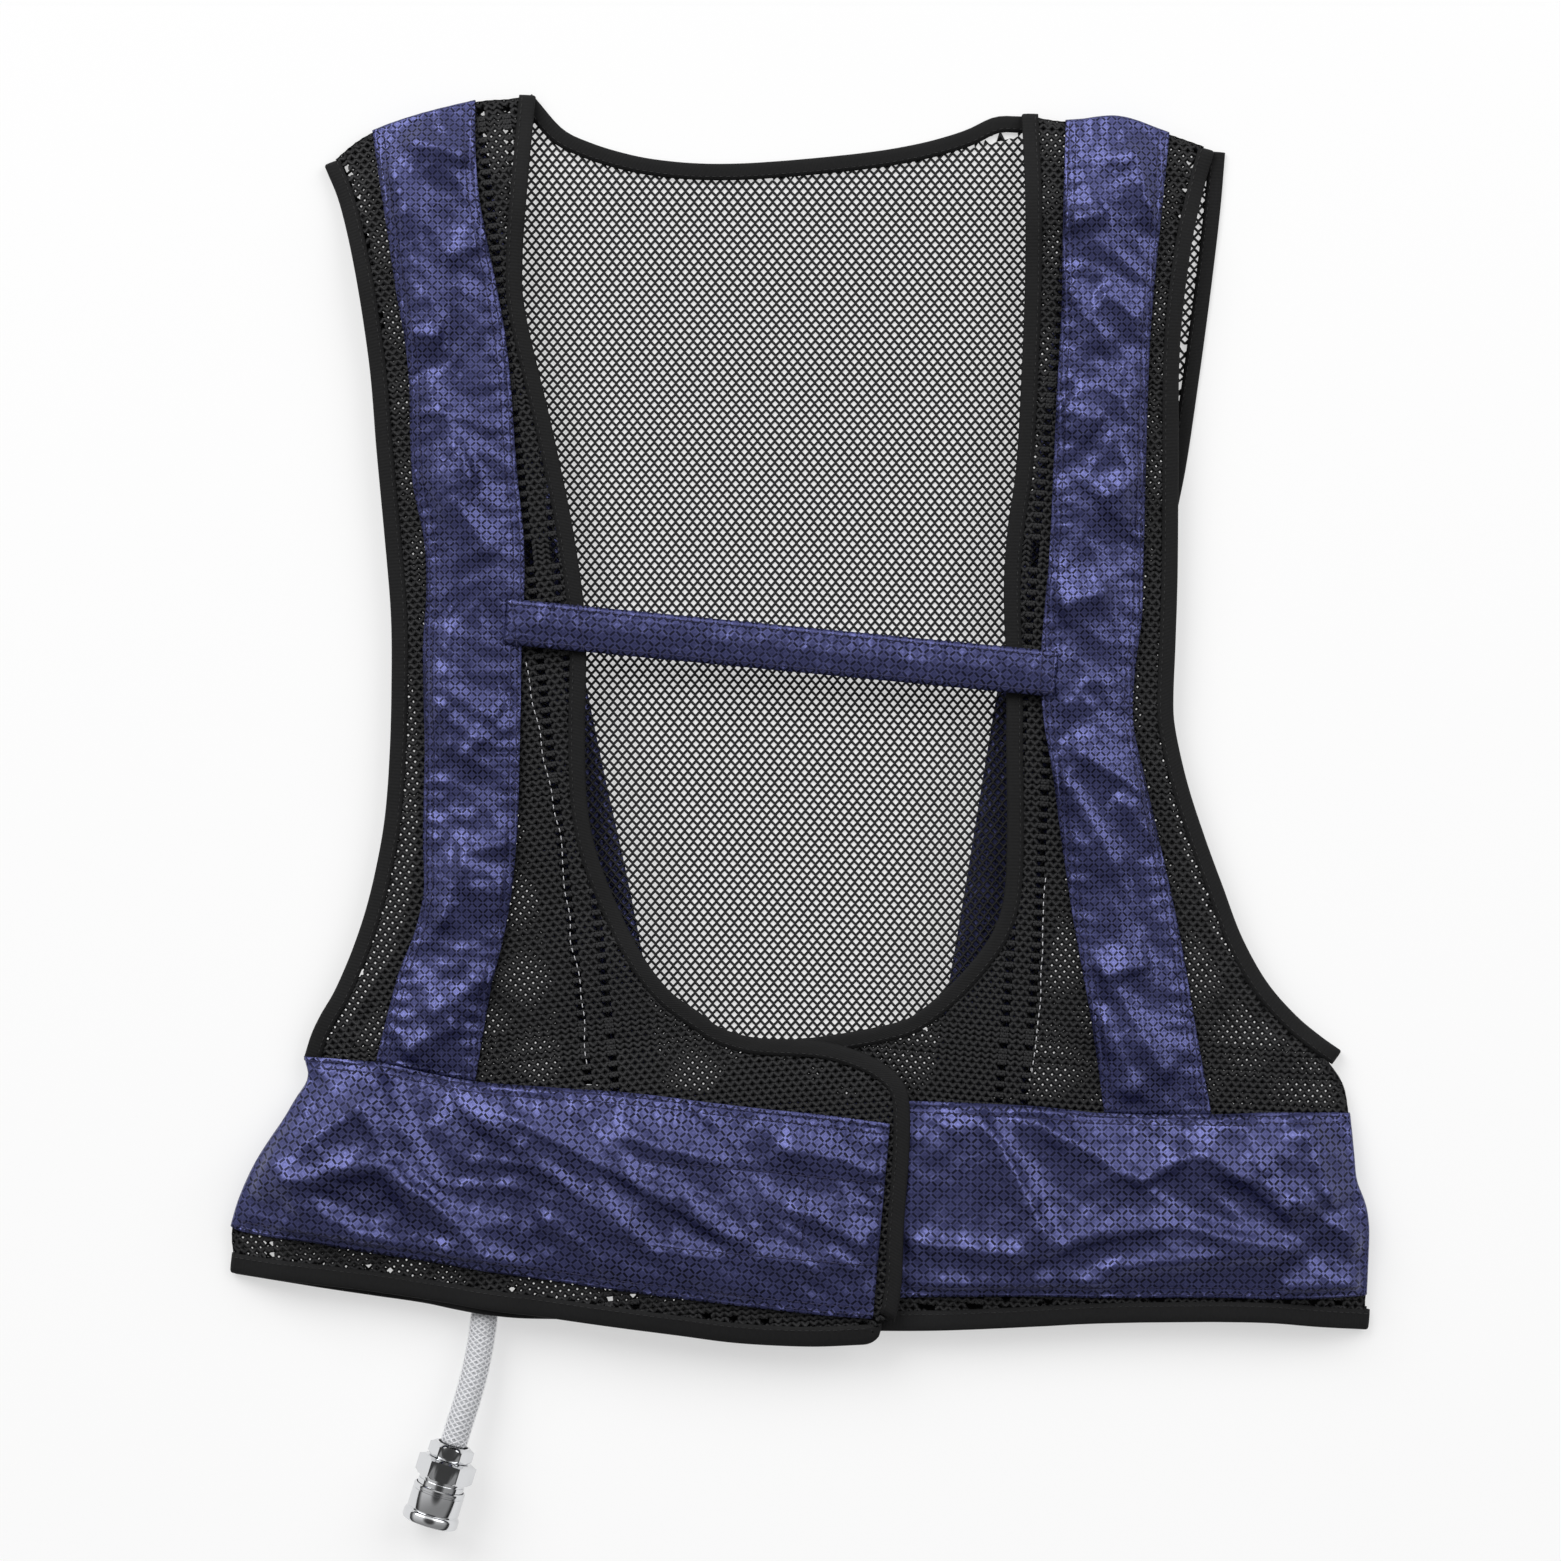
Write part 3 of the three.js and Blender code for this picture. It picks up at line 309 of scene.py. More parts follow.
net = {
    "cellWidth": 3.73 * mm,     # from pillar to pillar
    "cellLength": 4.68 * mm,    # two rows of holes
    "pillar": 0.45 * mm,        # straight part between two holes beside each other
    "strand": 1.12 * mm,
    "frontStrand": 2.25 * mm,   # thicker than the back net's strand, a dark stand-in for the shade where two layers of net lie over each other
    "strandHeight": 0.5 * mm,
    "intoTape": 4.6 * mm,
    "backSag": 0.45 * mm,       # the back net lies closer to the floor than its bound edge
    "turn": {"front_panel_left": 0.11, "front_panel_right": -0.08, "back_panel": 0.0},
    "drift": 9.0 * mm,          # how far the cloth is pulled out of square
    "driftSize": 4.2,
    "besideSeam": (0.7 * mm, 0.7 * mm, 0.0),
}


def knottedNet():
    # Warp-knitted polyester multifilament, dyed black: matt, with a faint gloss along the yarn
    material = bpy.data.materials.new("knittedPolyester")
    material.use_nodes = True
    tree = material.node_tree
    shader = tree.nodes["Principled BSDF"]
    place = addNode(tree, "ShaderNodeTexCoord").outputs["Object"]
    yarn = addNode(tree, "ShaderNodeTexNoise", {"Vector": place, "Scale": 2600.0, "Detail": 2.0})
    colours = addNode(tree, "ShaderNodeMapRange", {
        "Value": yarn.outputs[0], "From Min": 0.3, "From Max": 0.7, "To Min": 0.6, "To Max": 1.5,
    }).outputs[0]
    tone = addNode(tree, "ShaderNodeVectorMath", {0: linear("#131315")[:3], "Scale": colours},
                   operation="SCALE").outputs[0]
    tree.links.new(tone, shader.inputs["Base Color"])
    bump = addNode(tree, "ShaderNodeBump", {"Height": yarn.outputs[0], "Distance": 0.15 * mm,
                                            "Strength": 0.5}).outputs[0]
    tree.links.new(bump, shader.inputs["Normal"])
    shader.inputs["Roughness"].default_value = 0.62
    shader.inputs["Specular IOR Level"].default_value = 0.4
    return material


def netCellMesh(strand):
    # One cell's share of the net: three strands and two knots round the hole at the origin
    halfWidth = net["cellWidth"] / 2
    halfLength = net["cellLength"] / 2
    side = net["pillar"] / 2
    tip = halfLength - side
    corners = [Vector((halfWidth, side)), Vector((0, tip)), Vector((-halfWidth, side)),
               Vector((-halfWidth, -side)), Vector((0, -tip)), Vector((halfWidth, -side))]
    lines = []
    for i in range(6):
        along = (corners[(i + 1) % 6] - corners[i]).normalized()
        inward = Vector((-along.y, along.x))
        lines.append((corners[i] + inward * strand / 2, along))
    hole = []
    for i in range(6):
        (p, d), (q, e) = lines[i - 1], lines[i]
        share = ((q.x - p.x) * e.y - (q.y - p.y) * e.x) / (d.x * e.y - d.y * e.x)
        hole.append(p + d * share)
    right = Vector((net["cellWidth"], 0))
    upperRight = Vector((halfWidth, halfLength))
    upperLeft = Vector((-halfWidth, halfLength))
    top = net["strandHeight"] * 0.6
    low = -net["strandHeight"] * 0.4
    verts = []

    def point(place, z):
        verts.append((place.x, place.y, z))
        return len(verts) - 1

    ridge = {i: point(corners[i], top) for i in (5, 0, 1, 2)}
    own = {i: point(hole[i], low) for i in (5, 0, 1, 2)}
    rightSide = {5: point(hole[3] + right, low), 0: point(hole[2] + right, low)}
    aboveRight = {0: point(hole[4] + upperRight, low), 1: point(hole[3] + upperRight, low)}
    aboveLeft = {1: point(hole[5] + upperLeft, low), 2: point(hole[4] + upperLeft, low)}
    faces = []
    for a, b, beyond in ((5, 0, rightSide), (0, 1, aboveRight), (1, 2, aboveLeft)):
        faces.append((ridge[a], ridge[b], own[b], own[a]))
        faces.append((ridge[b], ridge[a], beyond[a], beyond[b]))
        faces.append((own[a], own[b], beyond[b], beyond[a]))
    faces.append((own[0], aboveRight[0], rightSide[0]))
    faces.append((own[1], aboveLeft[1], aboveRight[1]))
    mesh = bpy.data.meshes.new("netCell")
    mesh.from_pydata(verts, [], faces)
    bm = bmesh.new()
    bm.from_mesh(mesh)
    bm.normal_update()
    for face in bm.faces:
        isUnder = all(abs(vert.co.z - low) < 0.01 * mm for vert in face.verts)
        if (face.normal.z > 0) == isUnder:
            face.normal_flip()
    bm.to_mesh(mesh)
    bm.free()
    return mesh


def netTree():
    tree = bpy.data.node_groups.new("knitNet", "GeometryNodeTree")
    tree.is_modifier = True
    face = tree.interface
    face.new_socket("Geometry", in_out="INPUT", socket_type="NodeSocketGeometry")
    face.new_socket("Cover", in_out="INPUT", socket_type="NodeSocketObject")
    face.new_socket("Cell", in_out="INPUT", socket_type="NodeSocketObject")
    for name in ("Cell Width", "Cell Length", "Into Tape", "Sag", "Turn", "Drift", "Drift Size", "From", "To"):
        face.new_socket(name, in_out="INPUT", socket_type="NodeSocketFloat")
    face.new_socket("Material", in_out="INPUT", socket_type="NodeSocketMaterial")
    face.new_socket("Geometry", in_out="OUTPUT", socket_type="NodeSocketGeometry")
    given = tree.nodes.new("NodeGroupInput").outputs

    def math2(operation, a, b=0.0):
        return addNode(tree, "ShaderNodeMath", {0: a, 1: b}, operation=operation).outputs[0]

    def vector(operation, a, b):
        return addNode(tree, "ShaderNodeVectorMath", {0: a, 1: b}, operation=operation).outputs[0]

    def parts(value):
        return addNode(tree, "ShaderNodeSeparateXYZ", {0: value}).outputs

    def flat(value):
        x, y, _ = parts(value)
        return addNode(tree, "ShaderNodeCombineXYZ", {"X": x, "Y": y}).outputs[0]

    def moved(geometry, position):
        return addNode(tree, "GeometryNodeSetPosition",
                       {"Geometry": geometry, "Position": position}).outputs[0]

    here = addNode(tree, "GeometryNodeInputPosition").outputs[0]
    cover = addNode(tree, "GeometryNodeObjectInfo", {"Object": given["Cover"]}).outputs["Geometry"]
    cell = addNode(tree, "GeometryNodeObjectInfo", {"Object": given["Cell"]}).outputs["Geometry"]

    # Lattice of hole centres: every second point of a grid of half cells
    box = addNode(tree, "GeometryNodeBoundBox", {0: given["Geometry"]})
    low, high = box.outputs["Min"], box.outputs["Max"]
    span = parts(vector("SUBTRACT", high, low))
    halfWidth = math2("MULTIPLY", given["Cell Width"], 0.5)
    halfLength = math2("MULTIPLY", given["Cell Length"], 0.5)
    counts = [math2("ADD", math2("CEIL", math2("DIVIDE", size, step)), 40.0)
              for size, step in ((span[0], halfWidth), (span[1], halfLength))]
    grid = addNode(tree, "GeometryNodeMeshGrid", {
        "Size X": math2("MULTIPLY", counts[0], halfWidth),
        "Size Y": math2("MULTIPLY", counts[1], halfLength),
        "Vertices X": math2("ADD", counts[0], 1.0),
        "Vertices Y": math2("ADD", counts[1], 1.0),
    }).outputs["Mesh"]
    x, y, _ = parts(here)
    column = math2("ROUND", math2("DIVIDE", x, halfWidth))
    row = math2("ROUND", math2("DIVIDE", y, halfLength))
    odd = math2("GREATER_THAN", math2("FLOORED_MODULO", math2("ADD", column, row), 2.0), 0.5)
    halves = addNode(tree, "GeometryNodeDeleteGeometry", {"Geometry": grid, "Selection": odd},
                     domain="POINT").outputs[0]
    middle = addNode(tree, "ShaderNodeVectorMath", {0: vector("ADD", low, high), "Scale": 0.5},
                     operation="SCALE").outputs[0]
    turned = addNode(tree, "ShaderNodeVectorRotate", {"Vector": here, "Angle": given["Turn"]}).outputs[0]
    points = moved(halves, vector("ADD", turned, flat(middle)))

    # The cloth is pulled a little out of square
    noise = addNode(tree, "ShaderNodeTexNoise", {
        "Vector": flat(here), "Scale": given["Drift Size"], "Detail": 0.0,
    }).outputs["Color"]
    pull = addNode(tree, "ShaderNodeVectorMath", {
        0: vector("SUBTRACT", noise, (0.5, 0.5, 0.5)), "Scale": given["Drift"],
    }, operation="SCALE").outputs[0]
    drifted = vector("ADD", flat(here), flat(pull))

    # Cells over the panel, and a little way into the tapes round it
    def nearestInPlan(geometry):
        plan = moved(geometry, flat(here))
        return addNode(tree, "GeometryNodeProximity", {0: plan, "Sample Position": drifted},
                       target_element="FACES").outputs

    def levelAt(position):
        # Middle between the upper and lower side of the cloth, and whether there is any
        upperX, upperY, _ = parts(position)
        hits = []
        for start, heading in ((1.0, -1.0), (-1.0, 1.0)):
            source = addNode(tree, "ShaderNodeCombineXYZ", {"X": upperX, "Y": upperY, "Z": start})
            hits.append(addNode(tree, "GeometryNodeRaycast", {
                "Target Geometry": cover, "Source Position": source.outputs[0],
                "Ray Direction": (0, 0, heading), "Ray Length": 3.0,
            }))
        levels = [parts(hit.outputs["Hit Position"])[2] for hit in hits]
        isHit = math2("MULTIPLY", hits[0].outputs["Is Hit"], hits[1].outputs["Is Hit"])
        return math2("MULTIPLY", math2("ADD", *levels), 0.5), isHit

    def height(position):
        # A point over the seam between panel and tape takes the level close beside it
        level, isHit = levelAt(position)
        beside, besideHit = levelAt(vector("ADD", position, net["besideSeam"]))
        either = addNode(tree, "GeometryNodeSwitch", {"Switch": isHit, "False": beside, "True": level},
                         input_type="FLOAT").outputs[0]
        return either, math2("MAXIMUM", isHit, besideHit)

    tooFar = math2("GREATER_THAN", nearestInPlan(given["Geometry"])["Distance"], given["Into Tape"])
    uncovered = math2("GREATER_THAN", nearestInPlan(cover)["Distance"], 0.35 * mm)
    below = math2("LESS_THAN", y, given["From"])
    above = math2("GREATER_THAN", y, math2("SUBTRACT", given["To"], 0.01 * mm))
    level, isHit = height(drifted)
    missed = math2("LESS_THAN", isHit, 0.5)
    outside = math2("ADD", math2("ADD", tooFar, uncovered), missed)
    unwanted = math2("ADD", outside, math2("ADD", below, above))
    kept = addNode(tree, "GeometryNodeDeleteGeometry", {
        "Geometry": points, "Selection": math2("GREATER_THAN", unwanted, 0.5),
    }, domain="POINT").outputs[0]
    captured = addNode(tree, "GeometryNodeStoreNamedAttribute", {
        "Geometry": kept, "Name": "level", "Value": level,
    }, data_type="FLOAT", domain="POINT").outputs[0]
    cloud = addNode(tree, "GeometryNodeMeshToPoints", {"Mesh": captured}).outputs[0]
    heading = addNode(tree, "ShaderNodeCombineXYZ", {"Z": given["Turn"]}).outputs[0]
    copies = addNode(tree, "GeometryNodeInstanceOnPoints", {
        "Points": cloud, "Instance": cell, "Rotation": heading,
    }).outputs[0]
    solid = addNode(tree, "GeometryNodeRealizeInstances", {0: copies}).outputs[0]

    # Every knot lies on the panel, and none reaches past its border
    own = parts(here)[2]
    level, isHit = height(drifted)
    around = addNode(tree, "GeometryNodeInputNamedAttribute", {"Name": "level"},
                     data_type="FLOAT").outputs["Attribute"]
    settled = addNode(tree, "GeometryNodeSwitch", {"Switch": isHit, "False": around, "True": level},
                      input_type="FLOAT").outputs[0]
    dx, dy, _ = parts(nearestInPlan(cover)["Position"])
    lying = math2("SUBTRACT", math2("ADD", settled, own), given["Sag"])
    place = addNode(tree, "ShaderNodeCombineXYZ", {"X": dx, "Y": dy, "Z": lying})
    laid = moved(solid, place.outputs[0])
    welded = addNode(tree, "GeometryNodeMergeByDistance", {"Geometry": laid, "Distance": 0.01 * mm}).outputs[0]
    rounded = addNode(tree, "GeometryNodeSetShadeSmooth", {"Geometry": welded}).outputs[0]
    finished = addNode(tree, "GeometryNodeSetMaterial", {
        "Geometry": rounded, "Material": given["Material"],
    }).outputs[0]
    addNode(tree, "NodeGroupOutput", {"Geometry": finished})
    return tree


def applyTree(name, mesh, tree, values):
    # Runs a tree on a mesh and gives back the plain mesh that it makes
    holder = bpy.data.objects.new(name + "Source", mesh)
    scene.collection.objects.link(holder)
    modifier = holder.modifiers.new("nodes", "NODES")
    modifier.node_group = tree
    keys = {item.name: item.identifier for item in tree.interface.items_tree
            if item.item_type == "SOCKET" and item.in_out == "INPUT"}
    for label, value in values.items():
        modifier[keys[label]] = value
    holder.update_tag()
    graph = bpy.context.evaluated_depsgraph_get()
    result = bpy.data.meshes.new_from_object(holder.evaluated_get(graph))
    result.name = name
    bpy.data.objects.remove(holder)
    return result


def solidObject(name, *nodes):
    bm = mergedSolid(*nodes)
    mesh = bpy.data.meshes.new(name)
    bm.to_mesh(mesh)
    bm.free()
    obj = bpy.data.objects.new(name, mesh)
    scene.collection.objects.link(obj)
    return obj


def weaveNet(name, panel, tapes, fromY, toY, tree, cell, material):
    cover = solidObject("cover", panel, *tapes)
    source = solidObject("source", panel)
    mesh = applyTree(name, source.data, tree, {
        "Cover": cover, "Cell": cell, "Cell Width": net["cellWidth"],
        "Cell Length": net["cellLength"], "Into Tape": net["intoTape"],
        "Sag": net["backSag"] if panel == "back_panel" else 0.0, "Turn": net["turn"][panel],
        "Drift": net["drift"],
        "Drift Size": net["driftSize"], "From": fromY, "To": toY, "Material": material,
    })
    for helper in (cover, source):
        bpy.data.objects.remove(helper)
    for attribute in [a for a in mesh.attributes if a.name == "level"]:
        mesh.attributes.remove(attribute)
    piece = newPiece(name, mesh, material)
    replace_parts(piece, panel)
    print(name, len(mesh.polygons), "faces")
    return piece


def makeNets():
    material = knottedNet()
    tree = netTree()
    cells = {}
    for label, strand in (("front", net["frontStrand"]), ("back", net["strand"])):
        cells[label] = bpy.data.objects.new("netCell", netCellMesh(strand))
        scene.collection.objects.link(cells[label])
    fronts = {
        "front_panel_left": ("neckline_binding_left", "armhole_binding_front_left", "hem_binding_left"),
        "front_panel_right": ("neckline_binding_right", "armhole_binding_front_right",
                              "hem_binding_right"),
    }
    for panel, tapes in fronts.items():
        weaveNet(panel.replace("_panel", "_net"), panel, tapes, -1.0, 1.0, tree, cells["front"], material)
    backTapes = ("back_neck_binding", "armhole_binding_back_left", "armhole_binding_back_right",
                 "hem_binding_back")
    cuts = [-1.0, -0.125, 0.045, 1.0]
    for i, label in enumerate(("low", "middle", "high")):
        weaveNet("back_net_" + label, "back_panel", backTapes, cuts[i], cuts[i + 1], tree, cells["back"],
                 material)
    for cell in cells.values():
        bpy.data.objects.remove(cell)


makeNets()
print("net panels")


# Grids, strips and rows that the sewn pieces are made of

def meshFromGrid(name, grid, uvScale=10.0):
    # Quads over rows of points, with a UV map in tenths of a metre along and across the cloth
    rows, columns = len(grid), len(grid[0])
    points = np.array([[tuple(p) for p in row] for row in grid])
    along = np.concatenate([np.zeros((1, columns)),
                            np.cumsum(np.linalg.norm(np.diff(points, axis=0), axis=2), axis=0)])
    across = np.concatenate([np.zeros((rows, 1)),
                             np.cumsum(np.linalg.norm(np.diff(points, axis=1), axis=2), axis=1)], axis=1)
    centred = across - across[:, -1:] / 2
    faces = [(i * columns + j, (i + 1) * columns + j, (i + 1) * columns + j + 1, i * columns + j + 1)
             for i in range(rows - 1) for j in range(columns - 1)]
    mesh = bpy.data.meshes.new(name)
    mesh.from_pydata(points.reshape(-1, 3).tolist(), [], faces)
    layer = mesh.uv_layers.new(name="cloth")
    uv = np.stack([along.reshape(-1), centred.reshape(-1)], axis=1) * uvScale
    corners = np.empty(len(mesh.loops), dtype=np.int64)
    mesh.loops.foreach_get("vertex_index", corners)
    layer.data.foreach_set("uv", uv[corners].reshape(-1).astype(np.float32))
    faceUp(mesh)
    return mesh


def faceUp(mesh):
    # Turns an open sheet so that most of it looks up
    if sum(face.normal.z * face.area for face in mesh.polygons) < 0:
        mesh.flip_normals()


def patchGrid(lines, spacing, acrossCount):
    # A grid inside four border lines: two long ones and the ends between them
    low, high = sorted(lines, key=lineLength)[-2:]
    ends = [line for line in lines if line is not low and line is not high]
    if (low[0] - high[0]).length > (low[0] - high[-1]).length:
        high = high[::-1]
    first = min(ends, key=lambda line: min((line[0] - low[0]).length, (line[-1] - low[0]).length))
    last = next(line for line in ends if line is not first)
    first = first if (first[0] - low[0]).length < (first[-1] - low[0]).length else first[::-1]
    last = last if (last[0] - low[-1]).length < (last[-1] - low[-1]).length else last[::-1]
    count = max(2, round(max(lineLength(low), lineLength(high)) / spacing))
    low = evenLine(smoothLine(low, spacing), count)
    high = evenLine(smoothLine(high, spacing), count)
    first = evenLine(smoothLine(first, spacing), acrossCount) if len(first) > 2 else evenLine(first, acrossCount)
    last = evenLine(smoothLine(last, spacing), acrossCount) if len(last) > 2 else evenLine(last, acrossCount)
    grid = []
    for i in range(count + 1):
        u = i / count
        row = []
        for j in range(acrossCount + 1):
            v = j / acrossCount
            ruled = low[i].lerp(high[i], v) + first[j].lerp(last[j], u)
            corner = low[0].lerp(low[-1], u).lerp(high[0].lerp(high[-1], u), v)
            row.append(ruled - corner)
        grid.append(row)
    return grid


# Edge tapes: folded round the net's edge and stitched down

tape = {
    "cadThickness": 2.0 * mm,
    "station": 3.4 * mm,
    "profile": (                # share of the width from the fold, height off the middle
        (1.00, 0.68), (0.72, 0.78), (0.40, 0.86), (0.12, 0.82), (0.02, 0.50), (-0.015, 0.0),
        (0.02, -0.50), (0.12, -0.82), (0.40, -0.86), (0.72, -0.78), (1.00, -0.68),
        (1.00, -0.34), (0.22, -0.30), (0.22, 0.30), (1.00, 0.34),
    ),
    "pucker": 0.10 * mm,
    "stitchFromEdge": 0.80,
    "stitchLength": 2.3 * mm,
    "stitchPitch": 3.0 * mm,
    "threadWidth": 0.42 * mm,
}


def tapeWebbing():
    # Woven polyester edging: matt black, a fine rib across, a little dusty gloss on the folds
    material = bpy.data.materials.new("wovenEdging")
    material.use_nodes = True
    tree = material.node_tree
    shader = tree.nodes["Principled BSDF"]
    place = addNode(tree, "ShaderNodeTexCoord").outputs["UV"]
    rib = addNode(tree, "ShaderNodeTexWave", {"Vector": place, "Scale": 22.0, "Distortion": 0.6,
                                              "Detail": 1.0}, wave_type="BANDS", bands_direction="X")
    grain = addNode(tree, "ShaderNodeTexNoise", {"Vector": place, "Scale": 70.0, "Detail": 3.0})
    mixed = addNode(tree, "ShaderNodeMath", {0: rib.outputs["Fac"], 1: grain.outputs[0]},
                    operation="ADD").outputs[0]
    tone = addNode(tree, "ShaderNodeMapRange", {
        "Value": grain.outputs[0], "From Min": 0.3, "From Max": 0.7, "To Min": 0.75, "To Max": 1.25,
    }).outputs[0]
    colour = addNode(tree, "ShaderNodeVectorMath", {0: linear("#0e0e0f")[:3], "Scale": tone},
                     operation="SCALE").outputs[0]
    bump = addNode(tree, "ShaderNodeBump", {"Height": mixed, "Distance": 0.08 * mm, "Strength": 0.6})
    tree.links.new(colour, shader.inputs["Base Color"])
    tree.links.new(bump.outputs[0], shader.inputs["Normal"])
    shader.inputs["Roughness"].default_value = 0.8
    shader.inputs["Specular IOR Level"].default_value = 0.3
    return material


def sewingThread(name, hexColour):
    # Spun polyester thread: matt, a shade off the cloth
    material = bpy.data.materials.new(name)
    material.use_nodes = True
    tree = material.node_tree
    shader = tree.nodes["Principled BSDF"]
    place = addNode(tree, "ShaderNodeTexCoord").outputs["Object"]
    twist = addNode(tree, "ShaderNodeTexNoise", {"Vector": place, "Scale": 3000.0, "Detail": 1.0})
    colour = addNode(tree, "ShaderNodeVectorMath", {
        0: linear(hexColour)[:3],
        "Scale": addNode(tree, "ShaderNodeMapRange", {"Value": twist.outputs[0], "To Min": 0.7,
                                                      "To Max": 1.3}).outputs[0],
    }, operation="SCALE").outputs[0]
    tree.links.new(colour, shader.inputs["Base Color"])
    shader.inputs["Roughness"].default_value = 0.6
    return material


def stitchMesh(size=1.0):
    # One stitch: a thread's float, thin at both ends
    reach = tape["stitchLength"] / 2 * size
    half = tape["threadWidth"] / 2 * size
    verts = [(-reach, 0, -half * 0.6)]
    for x in (-reach * 0.6, reach * 0.6):
        verts += [(x, half, 0), (x, 0, half), (x, -half, 0), (x, 0, -half)]
    verts.append((reach, 0, -half * 0.6))
    faces = []
    for k in range(4):
        following = (k + 1) % 4
        faces.append((0, 1 + k, 1 + following))
        faces.append((1 + k, 5 + k, 5 + following, 1 + following))
        faces.append((5 + k, 9, 5 + following))
    mesh = bpy.data.meshes.new("stitch")
    mesh.from_pydata(verts, [], faces)
    bm = bmesh.new()
    bm.from_mesh(mesh)
    bmesh.ops.recalc_face_normals(bm, faces=bm.faces)
    bm.to_mesh(mesh)
    bm.free()
    return mesh


def stitchTree():
    tree = bpy.data.node_groups.new("stitchRow", "GeometryNodeTree")
    tree.is_modifier = True
    face = tree.interface
    face.new_socket("Geometry", in_out="INPUT", socket_type="NodeSocketGeometry")
    face.new_socket("Stitch", in_out="INPUT", socket_type="NodeSocketObject")
    face.new_socket("Pitch", in_out="INPUT", socket_type="NodeSocketFloat")
    face.new_socket("Material", in_out="INPUT", socket_type="NodeSocketMaterial")
    face.new_socket("Geometry", in_out="OUTPUT", socket_type="NodeSocketGeometry")
    given = tree.nodes.new("NodeGroupInput").outputs
    curve = addNode(tree, "GeometryNodeMeshToCurve", {"Mesh": given["Geometry"]}).outputs[0]
    even = addNode(tree, "GeometryNodeResampleCurve", {"Curve": curve, "Length": given["Pitch"]},
                   mode="LENGTH").outputs[0]
    tangent = addNode(tree, "GeometryNodeInputTangent").outputs[0]
    turned = addNode(tree, "FunctionNodeAlignRotationToVector", {"Vector": tangent}, axis="X").outputs[0]
    stitch = addNode(tree, "GeometryNodeObjectInfo", {"Object": given["Stitch"]}).outputs["Geometry"]
    copies = addNode(tree, "GeometryNodeInstanceOnPoints", {
        "Points": even, "Instance": stitch, "Rotation": turned,
    }).outputs[0]
    solid = addNode(tree, "GeometryNodeRealizeInstances", {0: copies}).outputs[0]
    rounded = addNode(tree, "GeometryNodeSetShadeSmooth", {"Geometry": solid}).outputs[0]
    finished = addNode(tree, "GeometryNodeSetMaterial", {
        "Geometry": rounded, "Material": given["Material"],
    }).outputs[0]
    addNode(tree, "NodeGroupOutput", {"Geometry": finished})
    return tree


stitchRow = stitchTree()


def sewRows(name, rows, material, pitch, size=1.0):
    # Stitches along rows of points that already lie on the cloth
    stitch = bpy.data.objects.new("stitch", stitchMesh(size))
    scene.collection.objects.link(stitch)
    verts, edges = [], []
    for row in rows:
        first = len(verts)
        verts += [tuple(p) for p in row]
        edges += [(first + i, first + i + 1) for i in range(len(row) - 1)]
    mesh = bpy.data.meshes.new(name)
    mesh.from_pydata(verts, edges, [])
    made = applyTree(name, mesh, stitchRow, {"Stitch": stitch, "Pitch": pitch, "Material": material})
    bpy.data.objects.remove(stitch)
    return newPiece(name, made, material)


# What becomes of a tape's end, found by the direction it points to: rolled down round the fold
# to the back's tape, cut short where another tape covers it, or run on to meet its neighbour
tapeEnds = {
    "neckline_binding_left": (((0, 1, 0), "roll", 0), ((0, -1, 0), "cut", 9 * mm)),
    "neckline_binding_right": (((0, 1, 0), "roll", 0),),
    "armhole_binding_front_left": (((0, 1, 0), "roll", 0), ((0, -1, 0), "roll", 0)),
    "armhole_binding_front_right": (((0, 1, 0), "roll", 0), ((0, -1, 0), "roll", 0)),
    "hem_binding_left": (((-1, 0, 0), "roll", 0), ((1, 0, 0), "round", 8 * mm)),
    "hem_binding_right": (((1, 0, 0), "roll", 0),),
    "back_neck_binding": (((-1, 0, 0), "run", 2.5 * mm), ((1, 0, 0), "run", 2.5 * mm)),
    "armhole_binding_back_left": (((0, 1, 0), "run", 1 * mm), ((0, -1, 0), "run", 1 * mm)),
    "armhole_binding_back_right": (((0, 1, 0), "run", 1 * mm), ((0, -1, 0), "run", 1 * mm)),
    "hem_binding_back": (),
}


def finishEnd(stations, atStart, action, length):
    # Stations are a place on the fold line, the way across the tape and its normal
    stations = stations[::-1] if atStart else stations
    if action == "cut":
        stations = stations[:-max(1, round(length / tape["station"]))]
    place, across, normal = stations[-1]
    ahead = (place - stations[-2][0]).xy.normalized().to_3d()
    if action == "run":
        stations = stations + [(place + ahead * length, across, normal)]
    if action == "round":
        steps = 6
        for k in range(1, steps + 1):
            reach = k / steps
            cut = 0.82 * (1 - math.sqrt(max(0.0, 1 - reach ** 2)))
            low = Vector((0, 0, -1.5 * mm)) * reach
            stations = stations + [(place + ahead * length * reach + across * cut + low, across * (1 - cut), normal)]
    if action == "roll":
        radius = max((place.z - tape["cadThickness"] / 2) / 2, 0.2 * mm)
        for k in range(1, 7):
            angle = math.pi * k / 6
            moved = ahead * min(radius, 3.2 * mm) * math.sin(angle) - Vector((0, 0, radius * (1 - math.cos(angle))))
            turned = normal * math.cos(angle) + ahead * math.sin(angle)
            level = across.lerp(across.xy.to_3d(), k / 6)
            stations = stations + [(place + moved, level, turned)]
    return stations[::-1] if atStart else stations


